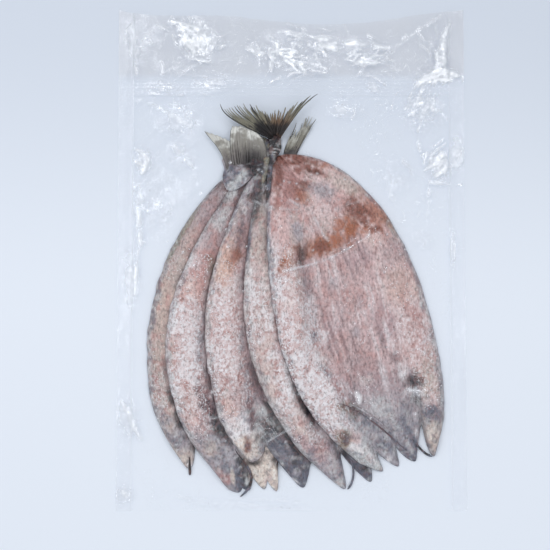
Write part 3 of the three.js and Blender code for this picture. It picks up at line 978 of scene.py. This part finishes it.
def flake_group():
    """Flaky salted surface over any tint: paler flakes, darker gaps between, white specks of salt, and fibre
    flecks of painted light and shade.
    """
    group = bpy.data.node_groups.new("Salted flakes", "ShaderNodeTree")
    inputs = (("Tint", "Color"), ("Salt", "Float"), ("White", "Color"), ("Gap", "Color"))
    results = (("Color", "Color"), ("Dry", "Float"), ("Height", "Float"))
    for way, sockets in (("INPUT", inputs), ("OUTPUT", results)):
        for label, kind in sockets:
            group.interface.new_socket(label, in_out=way, socket_type=f"NodeSocket{kind}")
    wires = Wiring(group)
    given = wires.put("NodeGroupInput").outputs
    spot = wires.place()
    wander = wires.put("ShaderNodeTexNoise", {"Vector": spot, "Scale": 300.0, "Detail": 2.0}).outputs["Color"]
    bent = wires.vector("MULTIPLY_ADD", {0: wander, 1: (0.0045, 0.0045, 0.0045), 2: spot})
    cells = wires.put("ShaderNodeTexVoronoi", {"Vector": bent, "Scale": 430.0, "Randomness": 1.0},
                      feature="SMOOTH_F1").outputs["Distance"]
    flake = wires.span(cells, 0.15, 0.6, 1.0, 0.0)
    fibre = wires.vector("MULTIPLY", {0: spot, 1: (1.0, 0.55, 1.0)})
    fine = wires.noise(fibre, 560.0, 3.0, 0.7)
    # Fibre flecks: the tint painted darker and lighter, as painted shade and light on the fibres
    shaded = wires.vector("SCALE", {0: given["Tint"], "Scale": 0.42})
    rough = wires.span(given["Salt"], 0.1, 0.5, 0.85, 1.0)
    dim = wires.times(wires.span(fine, 0.34, 0.5, 0.9, 0.0), rough)
    bright = wires.times(wires.span(fine, 0.52, 0.65, 0.0, 0.7), rough)
    speckled = wires.blend(dim, given["Tint"], shaded)
    lit = wires.vector("SCALE", {0: given["Tint"], "Scale": 1.5})
    lit = wires.vector("MINIMUM", {0: lit, 1: (0.9, 0.9, 0.9)})
    lit = wires.blend(wires.span(given["Salt"], 0.1, 0.5), lit, given["White"])
    speckled = wires.blend(bright, speckled, lit)
    mottle = wires.noise(spot, 170.0, 4.0, 0.65)
    grit = wires.noise(spot, 950.0, 2.0, 0.7)
    salted = wires.span(given["Salt"], 0.0, 0.5, 0.35, 1.0)
    flaky = wires.times(wires.span(mottle, 0.35, 0.65, 0.25, 1.0), salted)
    dark = wires.times(wires.span(flake, 0.1, 0.5, 0.5, 0.0), flaky)
    colour = wires.blend(dark, speckled, given["Gap"])
    pale = wires.times(wires.span(flake, 0.5, 0.95), wires.times(flaky, given["Salt"]))
    colour = wires.blend(wires.times(pale, 0.8), colour, given["White"])
    speck = wires.times(wires.span(grit, 0.58, 0.68), given["Salt"])
    colour = wires.blend(wires.times(speck, 0.7), colour, given["White"])
    height = wires.math("ADD", wires.times(flake, flaky), wires.times(grit, 0.3))
    wires.put("NodeGroupOutput", {"Color": colour, "Dry": wires.span(pale, 0.0, 0.6, 0.4, 0.75),
                                  "Height": wires.math("ADD", height, wires.times(mottle, 0.6))})
    return group


def flesh_material():
    """Flesh and skin, tinted point by point, with salted flakes over it."""
    material, wires = new_material("Salted flesh")
    flakes = wires.put("ShaderNodeGroup", node_tree=flake_group())
    for label, value in (("White", tint("pearl")), ("Gap", tint("rose"))):
        flakes.inputs[label].default_value = (*value, 1)
    wires.tree.links.new(wires.mark("tint", "Color"), flakes.inputs["Tint"])
    wires.tree.links.new(wires.mark("salt"), flakes.inputs["Salt"])
    bump = wires.put("ShaderNodeBump", {
        "Strength": 0.55, "Distance": 0.0009, "Height": flakes.outputs["Height"]})
    surface = wires.put("ShaderNodeBsdfPrincipled", {
        "Base Color": flakes.outputs["Color"], "Roughness": flakes.outputs["Dry"], "Normal": bump.outputs[0]})
    wires.show(surface.outputs[0])
    return material


class PACK_OT_lay_fish(bpy.types.Operator):
    """Lay the opened fish one over another, from the lowest to the top one"""

    bl_idname = "pack.lay_fish"
    bl_label = "Lay fish"
    ROWS = 210
    COLUMNS = 106
    FINE = (700, 400)

    def execute(self, context):
        for layer in range(len(FAN)):
            self.lay_body(OpenFish(layer))
        finish_slabs(flesh_material())
        return {"FINISHED"}

    def lay_body(self, fish):
        along, width = self.shares(self.ROWS, self.COLUMNS, fish)
        place = fish.place(along, width)
        slab = Slab(place, self.flesh(fish, along, width), flip=True)
        colour, salt = fish.tints(along, width, place)
        colour = fish.mottle(blot_over(colour, fish.layer, place), along, width, place)
        colour = slab.both(colour, skin_tints(along, width))
        salt = slab.both(salt, 0 * salt)
        fine_along, fine_width = self.shares(*self.FINE, fish)
        put_down(f"fish_{fish.layer + 1}", slab, colour, salt, fish.place(fine_along, fine_width),
                 self.flesh(fish, fine_along, fine_width))

    def shares(self, rows, columns, fish):
        """Shares of the length and of the width, closer together at the rim."""
        turn = np.linspace(0, math.pi, columns)
        width = np.tile((0.5 - 0.5 * np.cos(turn)) * 0.35 + 0.65 * turn / math.pi, (rows, 1))
        return np.linspace(0, 1, rows)[:, None] * fish.end(width), width

    def flesh(self, fish, along, width):
        flesh = fish.thickness(along, width)
        return np.maximum(0, flesh + fish.relief(along, width) * smooth(0, 3, flesh))


def fin_material():
    """Tail rays: black and brown at the root, olive grey outwards, cream on the softer fins."""
    material, wires = new_material("Tail fin")
    reach = wires.mark("reach")
    mottle = wires.noise(wires.place(), 260.0, 3.0, 0.6)
    uneven = wires.math("ADD", reach, wires.span(mottle, 0.3, 0.7, -0.12, 0.12))
    colour = wires.blend(wires.span(uneven, 0.2, 0.42), tint("ink"), tint("olive"))
    colour = wires.blend(wires.mark("rusty"), colour, tint("bark"))
    soft = wires.blend(wires.span(uneven, 0.25, 0.55), tint("soot"), tint("sedge"))
    patch = wires.span(wires.noise(wires.place(), 110.0, 2.0), 0.35, 0.65, -0.15, 0.15)
    soft = wires.blend(wires.span(wires.math("ADD", uneven, patch), 0.6, 0.95), soft, tint("reed"))
    colour = wires.blend(wires.mark("pale"), colour, soft)
    colour = wires.blend(wires.mark("dark"), colour, tint("ink"))
    bump = wires.put("ShaderNodeBump", {"Strength": 0.3, "Distance": 0.0006, "Height": mottle})
    surface = wires.put("ShaderNodeBsdfPrincipled", {
        "Base Color": colour, "Roughness": 0.5, "Normal": bump.outputs[0]})
    wires.show(surface.outputs[0])
    return material


class PACK_OT_add_tails(bpy.types.Operator):
    """Add the tail fins of separate rays, the tail stalks and the thin rims of the jaws"""

    bl_idname = "pack.add_tails"
    bl_label = "Add tails"
    RAYS = 56
    STEPS = 18
    RAY_WIDTH = 0.75
    RAY_TOP = 0.3
    LOWEST_FIN = 2
    FIN_STEP = 2.6
    ROOT_SINKS = 3.6
    RUSTY = np.array((-9, 106))
    RUSTY_REACH = 11
    DARK_ROOT = np.array((-31, 78))
    DARK_ROOT_REACH = 10.5
    STRAND_STEPS = 60
    SIDES = 14
    BED_PASSES = 25

    def execute(self, context):
        flesh = bpy.data.materials["Salted flesh"]
        fin = fin_material()
        for number, row in enumerate(STRANDS):
            self.add_strand(flesh, number, *row)
        for number, row in enumerate(FINS):
            self.add_fin(fin, number, *row)
        return {"FINISHED"}

    def add_fin(self, material, number, pale, fray, main_rays):
        rng = np.random.default_rng(700 + number)
        main_rays = np.array(main_rays, float)
        share = np.linspace(0, 1, self.STEPS)
        level = self.LOWEST_FIN + self.FIN_STEP * number
        points = []
        faces = []
        marks = {"reach": [], "pale": [], "dark": [], "rusty": []}
        for ray in range(self.RAYS):
            spot = ray / (self.RAYS - 1) * (len(main_rays) - 1)
            first = min(int(spot), len(main_rays) - 2)
            path = main_rays[first] + (spot - first) * (main_rays[first + 1] - main_rays[first])
            edge = ray in (0, self.RAYS - 1)
            length = 1 if edge else 1 - 0.5 * fray * rng.random()
            centre = curve_points(path, share * length)
            centre = centre + rng.normal(0, 1.2, 2) * fray * (share ** 2)[:, None] * (not edge)
            run = np.gradient(centre, axis=0)
            across = np.stack([-run[:, 1], run[:, 0]], -1) / np.hypot(run[:, 0], run[:, 1])[:, None]
            taper = np.clip((1 - share) / max(0.06, fray), 0, 1) ** 0.8
            half_width = self.RAY_WIDTH * (0.2 + 0.8 * taper) * (0.7 + 0.5 * share)
            softness = pale * (0.7 + 0.3 * rng.random())
            if edge:
                darkness = 0.8 - 0.3 * pale
            else:
                darkness = (0.75 * (rng.random() < 0.3) + 0.15) * (1 - 0.8 * pale)
            rusty = (number == len(FINS) - 1) * self.near(centre, self.RUSTY, self.RUSTY_REACH)
            # Darker patch on the softer fins near a spot at the tail root
            dark_root = 0.9 * pale * self.near(centre, self.DARK_ROOT, self.DARK_ROOT_REACH)
            sunk = self.ROOT_SINKS * rng.uniform(0.4, 1.5)
            stain = smooth(-0.1, 0.3, patches(centre, 8, 780)) * (1 - smooth(0.3, 0.6, share))
            stain = (1 - 0.75 * pale) * stain
            lift = np.maximum(0.8, level - sunk * (1 - share) ** 3 + 0.25 * (ray % 2))
            start = len(points)
            for k in range(self.STEPS):
                for way, rise in ((-1, 0), (0, 0.6), (1, 0), (0, -0.3)):
                    points.append((*(centre[k] + across[k] * half_width[k] * way), lift[k] + rise))
                    marks["reach"].append(share[k])
                    marks["pale"].append(softness)
                    marks["rusty"].append(rusty[k])
                    marks["dark"].append(max(darkness * min(1, 2 * share[k]), stain[k], dark_root[k]))
            for k in range(self.STEPS - 1):
                for corner in range(4):
                    a = start + 4 * k + corner
                    b = start + 4 * k + (corner + 1) % 4
                    faces.append((a, b, b + 4, a + 4))
            faces.append((start + 3, start + 2, start + 1, start))
            last = start + 4 * (self.STEPS - 1)
            faces.append((last, last + 1, last + 2, last + 3))
        points = np.array(points)
        add_piece(f"tail_fin_{number + 1}", points, faces, material, marks)
        LAID.raise_to(points[:, :2], points[:, 2] + self.RAY_TOP, TAIL_OWNER)

    def near(self, places, middle, reach):
        """1 at a place, fading out over the given reach."""
        return np.exp(-(np.hypot(*(places - middle).T) / reach) ** 2)

    def add_strand(self, material, number, path, radius, swell, taper, first, second):
        """A rounded strand through a few places, resting on what is below it."""
        path = np.array(path, float)
        steps = np.linspace(0, 1, self.STRAND_STEPS)
        knots = np.linspace(0, 1, len(path))
        fits = [np.polyfit(knots, path[:, axis], len(path) - 1) for axis in (0, 1)]
        bend = np.stack([np.polyval(fit, steps) for fit in fits], -1)
        run = np.gradient(bend, axis=0)
        side = np.stack([-run[:, 1], run[:, 0]], -1) / np.hypot(run[:, 0], run[:, 1])[:, None]
        thick = radius * np.sqrt(np.clip(np.minimum(steps / swell, (1 - steps) / taper), 0.02, 1))
        sides = self.SIDES + int(1.6 * radius)
        ring = np.linspace(0, 2 * math.pi, sides, endpoint=False)
        lumps = 1 + 0.18 * cloud(60 * steps[:, None], 6 * np.cos(ring), 9, 900 + number)
        flat = bend[:, None] + side[:, None] * (np.cos(ring) * thick[:, None] * lumps)[..., None]
        bed = LAID.settled(LAID.height, self.BED_PASSES)
        high = min(0.45, 1.6 / radius) * thick[:, None]
        level = LAID.read(flat, bed) + 0.8 * high + 0.3
        rise = np.maximum(0.3, level + np.sin(ring) * high * lumps)
        points = np.concatenate([flat, rise[..., None]], -1).reshape(-1, 3)
        index = grid_index(len(steps), sides)
        faces = list(sheet_faces(np.concatenate([index, index[:, :1]], 1)))
        faces += [index[0, ::-1], index[-1]]
        patchy = patches(points, 6, 920)
        colour = mix(tint(first), tint(second), smooth(-0.1, 0.35, patchy))
        colour = blot_over(colour, len(FAN), points)
        fine = patches(points, 2.8, 921) * smooth(1, 3, radius)
        colour = mix(colour, tint("mist"), 0.5 * smooth(0.1, 0.5, fine))
        colour = mix(colour, tint("ink"), 0.5 * smooth(0.1, 0.5, -fine))
        add_piece(f"strand_{number + 1}", points, faces, material,
                  {"tint": colour, "salt": np.full(len(points), 0.12)})
        LAID.raise_to(points[:, :2], points[:, 2], TAIL_OWNER)


def salt_material():
    """White salt grains."""
    material, wires = new_material("Salt grains")
    surface = wires.put("ShaderNodeBsdfPrincipled", {
        "Base Color": tint("pearl"), "Roughness": 0.35, "IOR": 1.54})
    wires.show(surface.outputs[0])
    return material


class PACK_OT_scatter_salt(bpy.types.Operator):
    """Scatter salt grains over the back strips where the flesh shows"""

    bl_idname = "pack.scatter_salt"
    bl_label = "Scatter salt"
    LEFT_SHARE = 0.75
    STRIP = (0.58, 0.97)
    LENGTHS = (0.3, 0.85)
    CORNERS = np.array([(1, 0, 0), (-1, 0, 0), (0, 1, 0), (0, -1, 0), (0, 0, 1), (0, 0, -1)], float)
    SIDES = np.array([(0, 2, 4), (2, 1, 4), (1, 3, 4), (3, 0, 4), (2, 0, 5), (1, 2, 5), (3, 1, 5), (0, 3, 5)])

    def execute(self, context):
        rng = np.random.default_rng(91)
        total = sum(row[1] for row in FAN)
        points = []
        faces = []
        for layer in range(len(FAN)):
            fish = OpenFish(layer)
            wanted = int(sizes().grain_count * fish.salt / total)
            way = np.where(rng.random(wanted) < self.LEFT_SHARE, -1, 1)
            width = 0.5 + 0.5 * way * rng.uniform(*self.STRIP, wanted)
            along = rng.uniform(*self.LENGTHS, wanted)
            place = fish.place(along, width)
            showing = LAID.owned_by(place) == layer
            showing &= patches(place, 16, 5) > -0.1
            for spot in place[showing]:
                size = sizes().grain_size / MM * rng.uniform(0.25, 0.7)
                corners = self.CORNERS * size * rng.uniform(0.6, 1.2, (6, 1)) @ random_turn(rng)
                faces.extend(self.SIDES + len(points))
                points.extend(corners + (*spot, LAID.read(spot) + 0.1 * size))
        points = np.array(points)
        add_piece("salt_grains", points, faces, salt_material(), smooth_faces=False)
        LAID.raise_to(points[:, :2], points[:, 2], SALT_OWNER)
        return {"FINISHED"}


def random_turn(rng):
    """Matrix of a turn about a random axis."""
    axis = rng.normal(size=3)
    x, y, z = axis / np.linalg.norm(axis)
    angle = rng.uniform(0, math.pi)
    cross = np.array([(0, -z, y), (z, 0, -x), (-y, x, 0)])
    return np.eye(3) + math.sin(angle) * cross + (1 - math.cos(angle)) * cross @ cross


def film_material():
    """Clear film: see-through with a faint mirror, white along seals, with painted highlights along creases
    and crushed patches and painted sheen on the loose film.
    """
    material, wires = new_material("Clear film")
    spot = wires.place()
    edge_on = wires.put("ShaderNodeLayerWeight", {"Blend": 0.2}).outputs["Facing"]
    crushed = wires.mark("crushed")
    # Painted highlights: thin white crinkle lines in the crushed patches
    lines = wires.math("ABSOLUTE", wires.math("SUBTRACT", wires.noise(spot, 75.0, 3.0, 0.6, 1.2), 0.5), 0.0)
    lines = wires.times(wires.span(lines, 0.004, 0.02, 0.5, 0.0), crushed)
    # Painted highlights: white along the creases and folds of the film
    fold_glints = wires.math("MINIMUM", wires.times(wires.mark("crease_glint"), 1.25), 1.0)
    white = wires.math("MAXIMUM", wires.math("MAXIMUM", lines, fold_glints),
                       wires.times(wires.mark("seal"), 0.16))
    share = wires.math("MULTIPLY_ADD", white, 0.85, wires.mark("veil"))
    share = wires.math("MULTIPLY_ADD", edge_on, 0.07, share)
    share = wires.math("MULTIPLY_ADD", crushed, 0.06, share)
    bump = wires.put("ShaderNodeBump", {"Strength": 0.5, "Distance": 0.0012,
                                        "Height": wires.noise(spot, 260.0, 3.0, 0.6, 0.8)})
    surface = wires.put("ShaderNodeBsdfPrincipled", {
        "Base Color": tint("film"), "Metallic": 0.25, "Roughness": 0.1,
        "Normal": bump.outputs[0]})
    clear = wires.put("ShaderNodeBsdfTransparent", {"Color": wires.blend(wires.mark("flap"), *CLEARNESS)})
    joined = wires.put("ShaderNodeMixShader", {0: share, 1: clear.outputs[0], 2: surface.outputs[0]})
    wires.show(joined.outputs[0])
    return material


def crumple(x, y, seed, longest, shortest, folds, slope):
    """Flat facets with sharp folds between, as in crushed film, in mm."""
    rng = np.random.default_rng(seed)
    height = np.zeros(x.shape)
    for fold in range(folds):
        length = longest * (shortest / longest) ** (fold / max(1, folds - 1))
        angle = rng.uniform(0, math.pi)
        phase = (x * math.cos(angle) + y * math.sin(angle)) / length + rng.random()
        phase = phase + 0.45 * cloud(x, y, 2.2 * length, seed + 50 + fold, 2)
        height += slope * length * np.abs(phase - np.floor(phase) - 0.5)
    return height


class PACK_OT_wrap_film(bpy.types.Operator):
    """Draw the film tight over the fish, seal its edges and crush its loose mouth"""

    bl_idname = "pack.wrap_film"
    bl_label = "Wrap film"
    SPACING = 1.1
    UNDER_SPACING = 3.2
    FLANGE = 0.9
    GAP = 0.35
    FISH_SHOWS = 0.6
    FISH_PASSES = 14
    SKIN_PASSES = 420
    FOLD_HALF = 0.75
    SEAL_RIB = 3.2
    GLINTS = 170
    GLINT_LOW = (-115, -165)
    GLINT_HIGH = (120, 85)
    MOUTH_START = 0.75
    MOUTH_LEVEL = 0.72
    MOUTH_WAVE = 0.28
    MOUTH_WAVES = 4.4
    MOUTH_SHIFT = 0.6

    def execute(self, context):
        if not WAITING:
            raise RuntimeError("Lay the fish before the film")
        material = film_material()
        x, y = self.grid(self.SPACING)
        fish = LAID.settled(LAID.height, self.FISH_PASSES)
        skin = LAID.settled(np.where(fish > self.FISH_SHOWS, fish + self.GAP, self.FLANGE), self.SKIN_PASSES)
        height = LAID.read(np.stack([x, y], -1), skin)
        lifted = smooth(0.5, 4, height - self.FLANGE)
        seal_y = sizes().seal_line / MM
        seal_half = sizes().seal_width / MM / 2
        inner_side = BAG_HIGH[0] - sizes().side_seal / MM
        seal = 1 - smooth(seal_half, seal_half + 1.5, np.abs(y - seal_y))
        side = smooth(inner_side - 1, inner_side, np.abs(x))
        rim = smooth(0, 7, np.minimum(BAG_HIGH[0] - np.abs(x), y - BAG_LOW[1]))
        loose = rim * (1 - 0.9 * seal) * (1 - 0.7 * side)
        rng = np.random.default_rng(8)
        crushed, crease_glint = self.crush(x, y, rng)
        crushed = np.maximum(crushed, 0.5 * (1 - lifted) * smooth(-0.2, 0.5, cloud(x, y, 34, 71)))
        flap = smooth(seal_y + seal_half, seal_y + seal_half + 6, y)
        height += loose * flap * crumple(x, y, 11, 46, 14, 5, 0.09)
        height += loose * (1 - lifted) * crushed * crumple(x, y, 17, 16, 6, 5, 0.1)
        height += loose * (1 - flap) * (1 - lifted) * crumple(x, y, 23, 60, 12, 5, 0.03)
        height += lifted * crumple(x, y, 31, 26, 7, 4, 0.012)
        for strength, half, line in FOLDS:
            crease_glint = np.maximum(crease_glint, strength * self.along_line(x, y, line, half))
        crease_glint *= 1 - 0.45 * lifted
        # Painted glints: small white spots on the film over the fish
        for cx, cy in rng.uniform(self.GLINT_LOW, self.GLINT_HIGH, (self.GLINTS, 2)):
            glint = np.exp(-(np.hypot(x - cx, y - cy) / rng.uniform(0.5, 1.0)) ** 2)
            crease_glint = np.maximum(crease_glint, rng.uniform(0.2, 0.8) * lifted * glint)
        ribs = 0.5 + 0.5 * np.cos((y - seal_y) * 2 * math.pi / self.SEAL_RIB)
        edge = np.exp(-((np.abs(x) - inner_side) / 0.8) ** 2)
        height += 0.7 * crease_glint + 0.25 * seal * ribs * rim + 0.4 * edge * (1 - lifted)
        points = np.stack([x, y, height], -1).reshape(-1, 3)
        film = add_piece("film_top", points, sheet_faces(grid_index(*x.shape)), material,
                         {"crease_glint": np.maximum(crease_glint, 0.25 * edge).ravel(), "crushed": crushed.ravel(),
                          "seal": np.maximum(seal * ribs, side).ravel(),
                          "veil": ((1 - lifted) * self.veil(x, y)).ravel(), "flap": flap.ravel()})
        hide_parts(BAG_NODE)
        x, y = self.grid(self.UNDER_SPACING)
        height = 0.1 + 0.1 * (1 + cloud(x, y, 30, 3))
        none = np.zeros(x.size)
        add_piece("film_underside", np.stack([x, y, height], -1).reshape(-1, 3),
                  sheet_faces(grid_index(*x.shape), flip=True), material,
                  {name: none for name in ("crease_glint", "crushed", "seal", "veil", "flap")})
        return {"FINISHED"}

    def crush(self, x, y, rng):
        """Masks of the crushed patches and of the sharp folds in them."""
        crushed = np.zeros(x.shape)
        crease_glint = np.zeros(x.shape)
        for (cx, cy), radius, strength, heading, folds in CRUSHED:
            crushed = np.maximum(crushed, strength * np.exp(-(np.hypot(x - cx, y - cy) / radius) ** 2))
            for _ in range(folds):
                start = np.array((cx, cy)) + rng.normal(0, 0.45 * radius, 2)
                angle = math.radians(heading) + rng.normal(0, 0.45)
                turn = rng.normal(0, 0.5)
                run = rng.uniform(0.15, 0.6) * radius
                middle = start + run * np.array((math.cos(angle), math.sin(angle)))
                end = middle + run * np.array((math.cos(angle + turn), math.sin(angle + turn)))
                fold = self.along_line(x, y, (start, middle, end), self.FOLD_HALF)
                crease_glint = np.maximum(crease_glint, strength * rng.uniform(0.3, 1) * fold)
        return crushed, crease_glint

    def grid(self, spacing):
        """Places over the bag, with the mouth edge dipping between its corners."""
        columns = int(round((BAG_HIGH[0] - BAG_LOW[0]) / spacing)) + 1
        rows = int(round((BAG_HIGH[1] - BAG_LOW[1]) / spacing)) + 1
        b, a = np.meshgrid(np.linspace(-1, 1, rows), np.linspace(-1, 1, columns), indexing="ij")
        wave = self.MOUTH_LEVEL + self.MOUTH_WAVE * np.sin(self.MOUTH_WAVES * a + self.MOUTH_SHIFT)
        dip = sizes().mouth_dip / MM * (1 - a ** 4) * wave * smooth(self.MOUTH_START, 1, b)
        return BAG_HIGH[0] * a, BAG_HIGH[1] * b - dip

    def veil(self, x, y):
        """Soft patchy whitish sheen painted on the loose film."""
        ragged = 0.35 * cloud(x, y, 15, 81)
        haze = np.zeros(x.shape)
        for (cx, cy), across, along, turn, strength in VEILS:
            off = oval(x - cx, y - cy, across, along, turn) + ragged
            haze = np.maximum(haze, strength * (1 - smooth(0.2, 1.1, off)))
        return haze * (0.85 + 0.5 * cloud(x, y, 6, 82))

    def along_line(self, x, y, line, half):
        """Mask of a pressed line of the given half width through a few places."""
        mask = np.zeros(x.shape)
        low = np.min(line, 0) - 5 - 2 * half
        high = np.max(line, 0) + 5 + 2 * half
        inside = (x > low[0]) & (x < high[0]) & (y > low[1]) & (y < high[1])
        x = x[inside]
        y = y[inside]
        near = np.full(x.shape, 99.0)
        wander = 0.9 * cloud(x, y, 9, 61, 2)
        for (ax, ay), (bx, by) in zip(line[:-1], line[1:]):
            run = np.array((bx - ax, by - ay), float)
            share = np.clip(((x - ax) * run[0] + (y - ay) * run[1]) / (run @ run), 0, 1)
            off_x = x - ax - share * run[0] + wander
            off_y = y - ay - share * run[1] + wander
            near = np.minimum(near, np.hypot(off_x, off_y))
        broken = smooth(-0.6, 0.3, cloud(x, y, 8, 77, 2))
        mask[inside] = np.exp(-(near / half + 0.5 * cloud(x, y, 5, 78, 2)) ** 2) * broken
        return mask


class PACK_OT_set_stage(bpy.types.Operator):
    """Set the floor, the soft lights and the camera"""

    bl_idname = "pack.set_stage"
    bl_label = "Set stage"
    AIM = (-13.2, -14.4, 6.0)
    ELEVATION = 86.5
    DISTANCE = 1.1
    VIEW_WIDTH = 0.44
    FLOOR_HALF = 3.0
    FLOOR_LEVEL = -0.0004
    SKY = (0.93, 0.965, 1.0)
    SKY_STRENGTH = 0.62
    # Name, place in m, size in m and power in W
    LIGHTS = (
        ("soft_left", (-0.7, 0.5, 1.1), 0.9, 3.4),
        ("soft_front", (0.2, -0.9, 1.1), 0.9, 2.4),
        ("glint_a", (-0.35, 0.55, 1.2), 0.16, 0.7),
        ("glint_b", (0.5, 0.4, 1.2), 0.16, 0.8),
        ("glint_c", (0.1, 0.75, 1.15), 0.16, 0.7),
        ("glint_d", (0.65, -0.1, 1.1), 0.16, 0.7),
        ("glint_e", (-0.6, 0.0, 1.15), 0.16, 0.6),
    )

    def execute(self, context):
        scene = context.scene
        scene.view_settings.view_transform = "Standard"
        scene.collection.objects.link(self.floor())
        scene.world = self.sky()
        aim = Vector(self.AIM) * MM
        for name, place, size, power in self.LIGHTS:
            lamp = bpy.data.lights.new(name, "AREA")
            lamp.size = size
            lamp.energy = power
            self.face(name, lamp, Vector(place), aim)
        lens = bpy.data.cameras.new("camera")
        lens.sensor_fit = "HORIZONTAL"
        lens.sensor_width = 36
        lens.lens = lens.sensor_width * self.DISTANCE / self.VIEW_WIDTH
        rise = math.radians(self.ELEVATION)
        eye = aim + Vector((0, -math.cos(rise), math.sin(rise))) * self.DISTANCE
        scene.camera = self.face("camera", lens, eye, aim)
        return {"FINISHED"}

    def face(self, name, data, place, aim):
        """New object at a place, turned to the aim."""
        item = bpy.data.objects.new(name, data)
        item.location = place
        item.rotation_euler = (aim - place).to_track_quat("-Z", "Y").to_euler()
        bpy.context.scene.collection.objects.link(item)
        return item

    def floor(self):
        material, wires = new_material("Pale floor")
        up = wires.put("ShaderNodeSeparateXYZ", {0: wires.place()}).outputs["Y"]
        # Painted shade: the floor is painted darker beyond the mouth of the bag
        colour = wires.blend(wires.span(up, -0.06, 0.22), tint("floor"), tint("far_floor"))
        surface = wires.put("ShaderNodeBsdfPrincipled", {
            "Base Color": colour, "Roughness": 0.7, "Specular IOR Level": 0.2})
        wires.show(surface.outputs[0])
        mesh = bpy.data.meshes.new("floor")
        far = self.FLOOR_HALF
        corners = [(-far, -far), (far, -far), (far, far), (-far, far)]
        mesh.from_pydata([(*corner, self.FLOOR_LEVEL) for corner in corners], [], [(0, 1, 2, 3)])
        mesh.materials.append(material)
        floor = bpy.data.objects.new("floor", mesh)
        return floor

    def sky(self):
        world = bpy.data.worlds.new("Soft room")
        world.use_nodes = True
        sky = world.node_tree.nodes["Background"]
        sky.inputs["Color"].default_value = (*self.SKY, 1)
        sky.inputs["Strength"].default_value = self.SKY_STRENGTH
        return world


class PACK_PT_tools(bpy.types.Panel):
    """Steps and settings of the pack"""

    bl_label = "Salted mackerel pack"
    bl_space_type = "VIEW_3D"
    bl_region_type = "UI"
    bl_category = "Mackerel"

    def draw(self, context):
        column = self.layout.column()
        for step in STEPS:
            column.operator(step.bl_idname)
        for group in (context.scene.pack_sizes, context.scene.pack_colours):
            for name in group.__annotations__:
                column.prop(group, name)


STEPS = (PACK_OT_lay_fish, PACK_OT_add_tails, PACK_OT_scatter_salt, PACK_OT_wrap_film, PACK_OT_set_stage)
CLASSES = (PackSizes, PackColours, *STEPS, PACK_PT_tools)


def register():
    for item in CLASSES:
        bpy.utils.register_class(item)
    bpy.types.Scene.pack_sizes = bpy.props.PointerProperty(type=PackSizes)
    bpy.types.Scene.pack_colours = bpy.props.PointerProperty(type=PackColours)


def unregister():
    del bpy.types.Scene.pack_colours
    del bpy.types.Scene.pack_sizes
    for item in reversed(CLASSES):
        bpy.utils.unregister_class(item)


def main():
    register()
    bpy.ops.pack.lay_fish()
    bpy.ops.pack.add_tails()
    bpy.ops.pack.scatter_salt()
    bpy.ops.pack.wrap_film()
    bpy.ops.pack.set_stage()


if __name__ == "__main__":
    main()
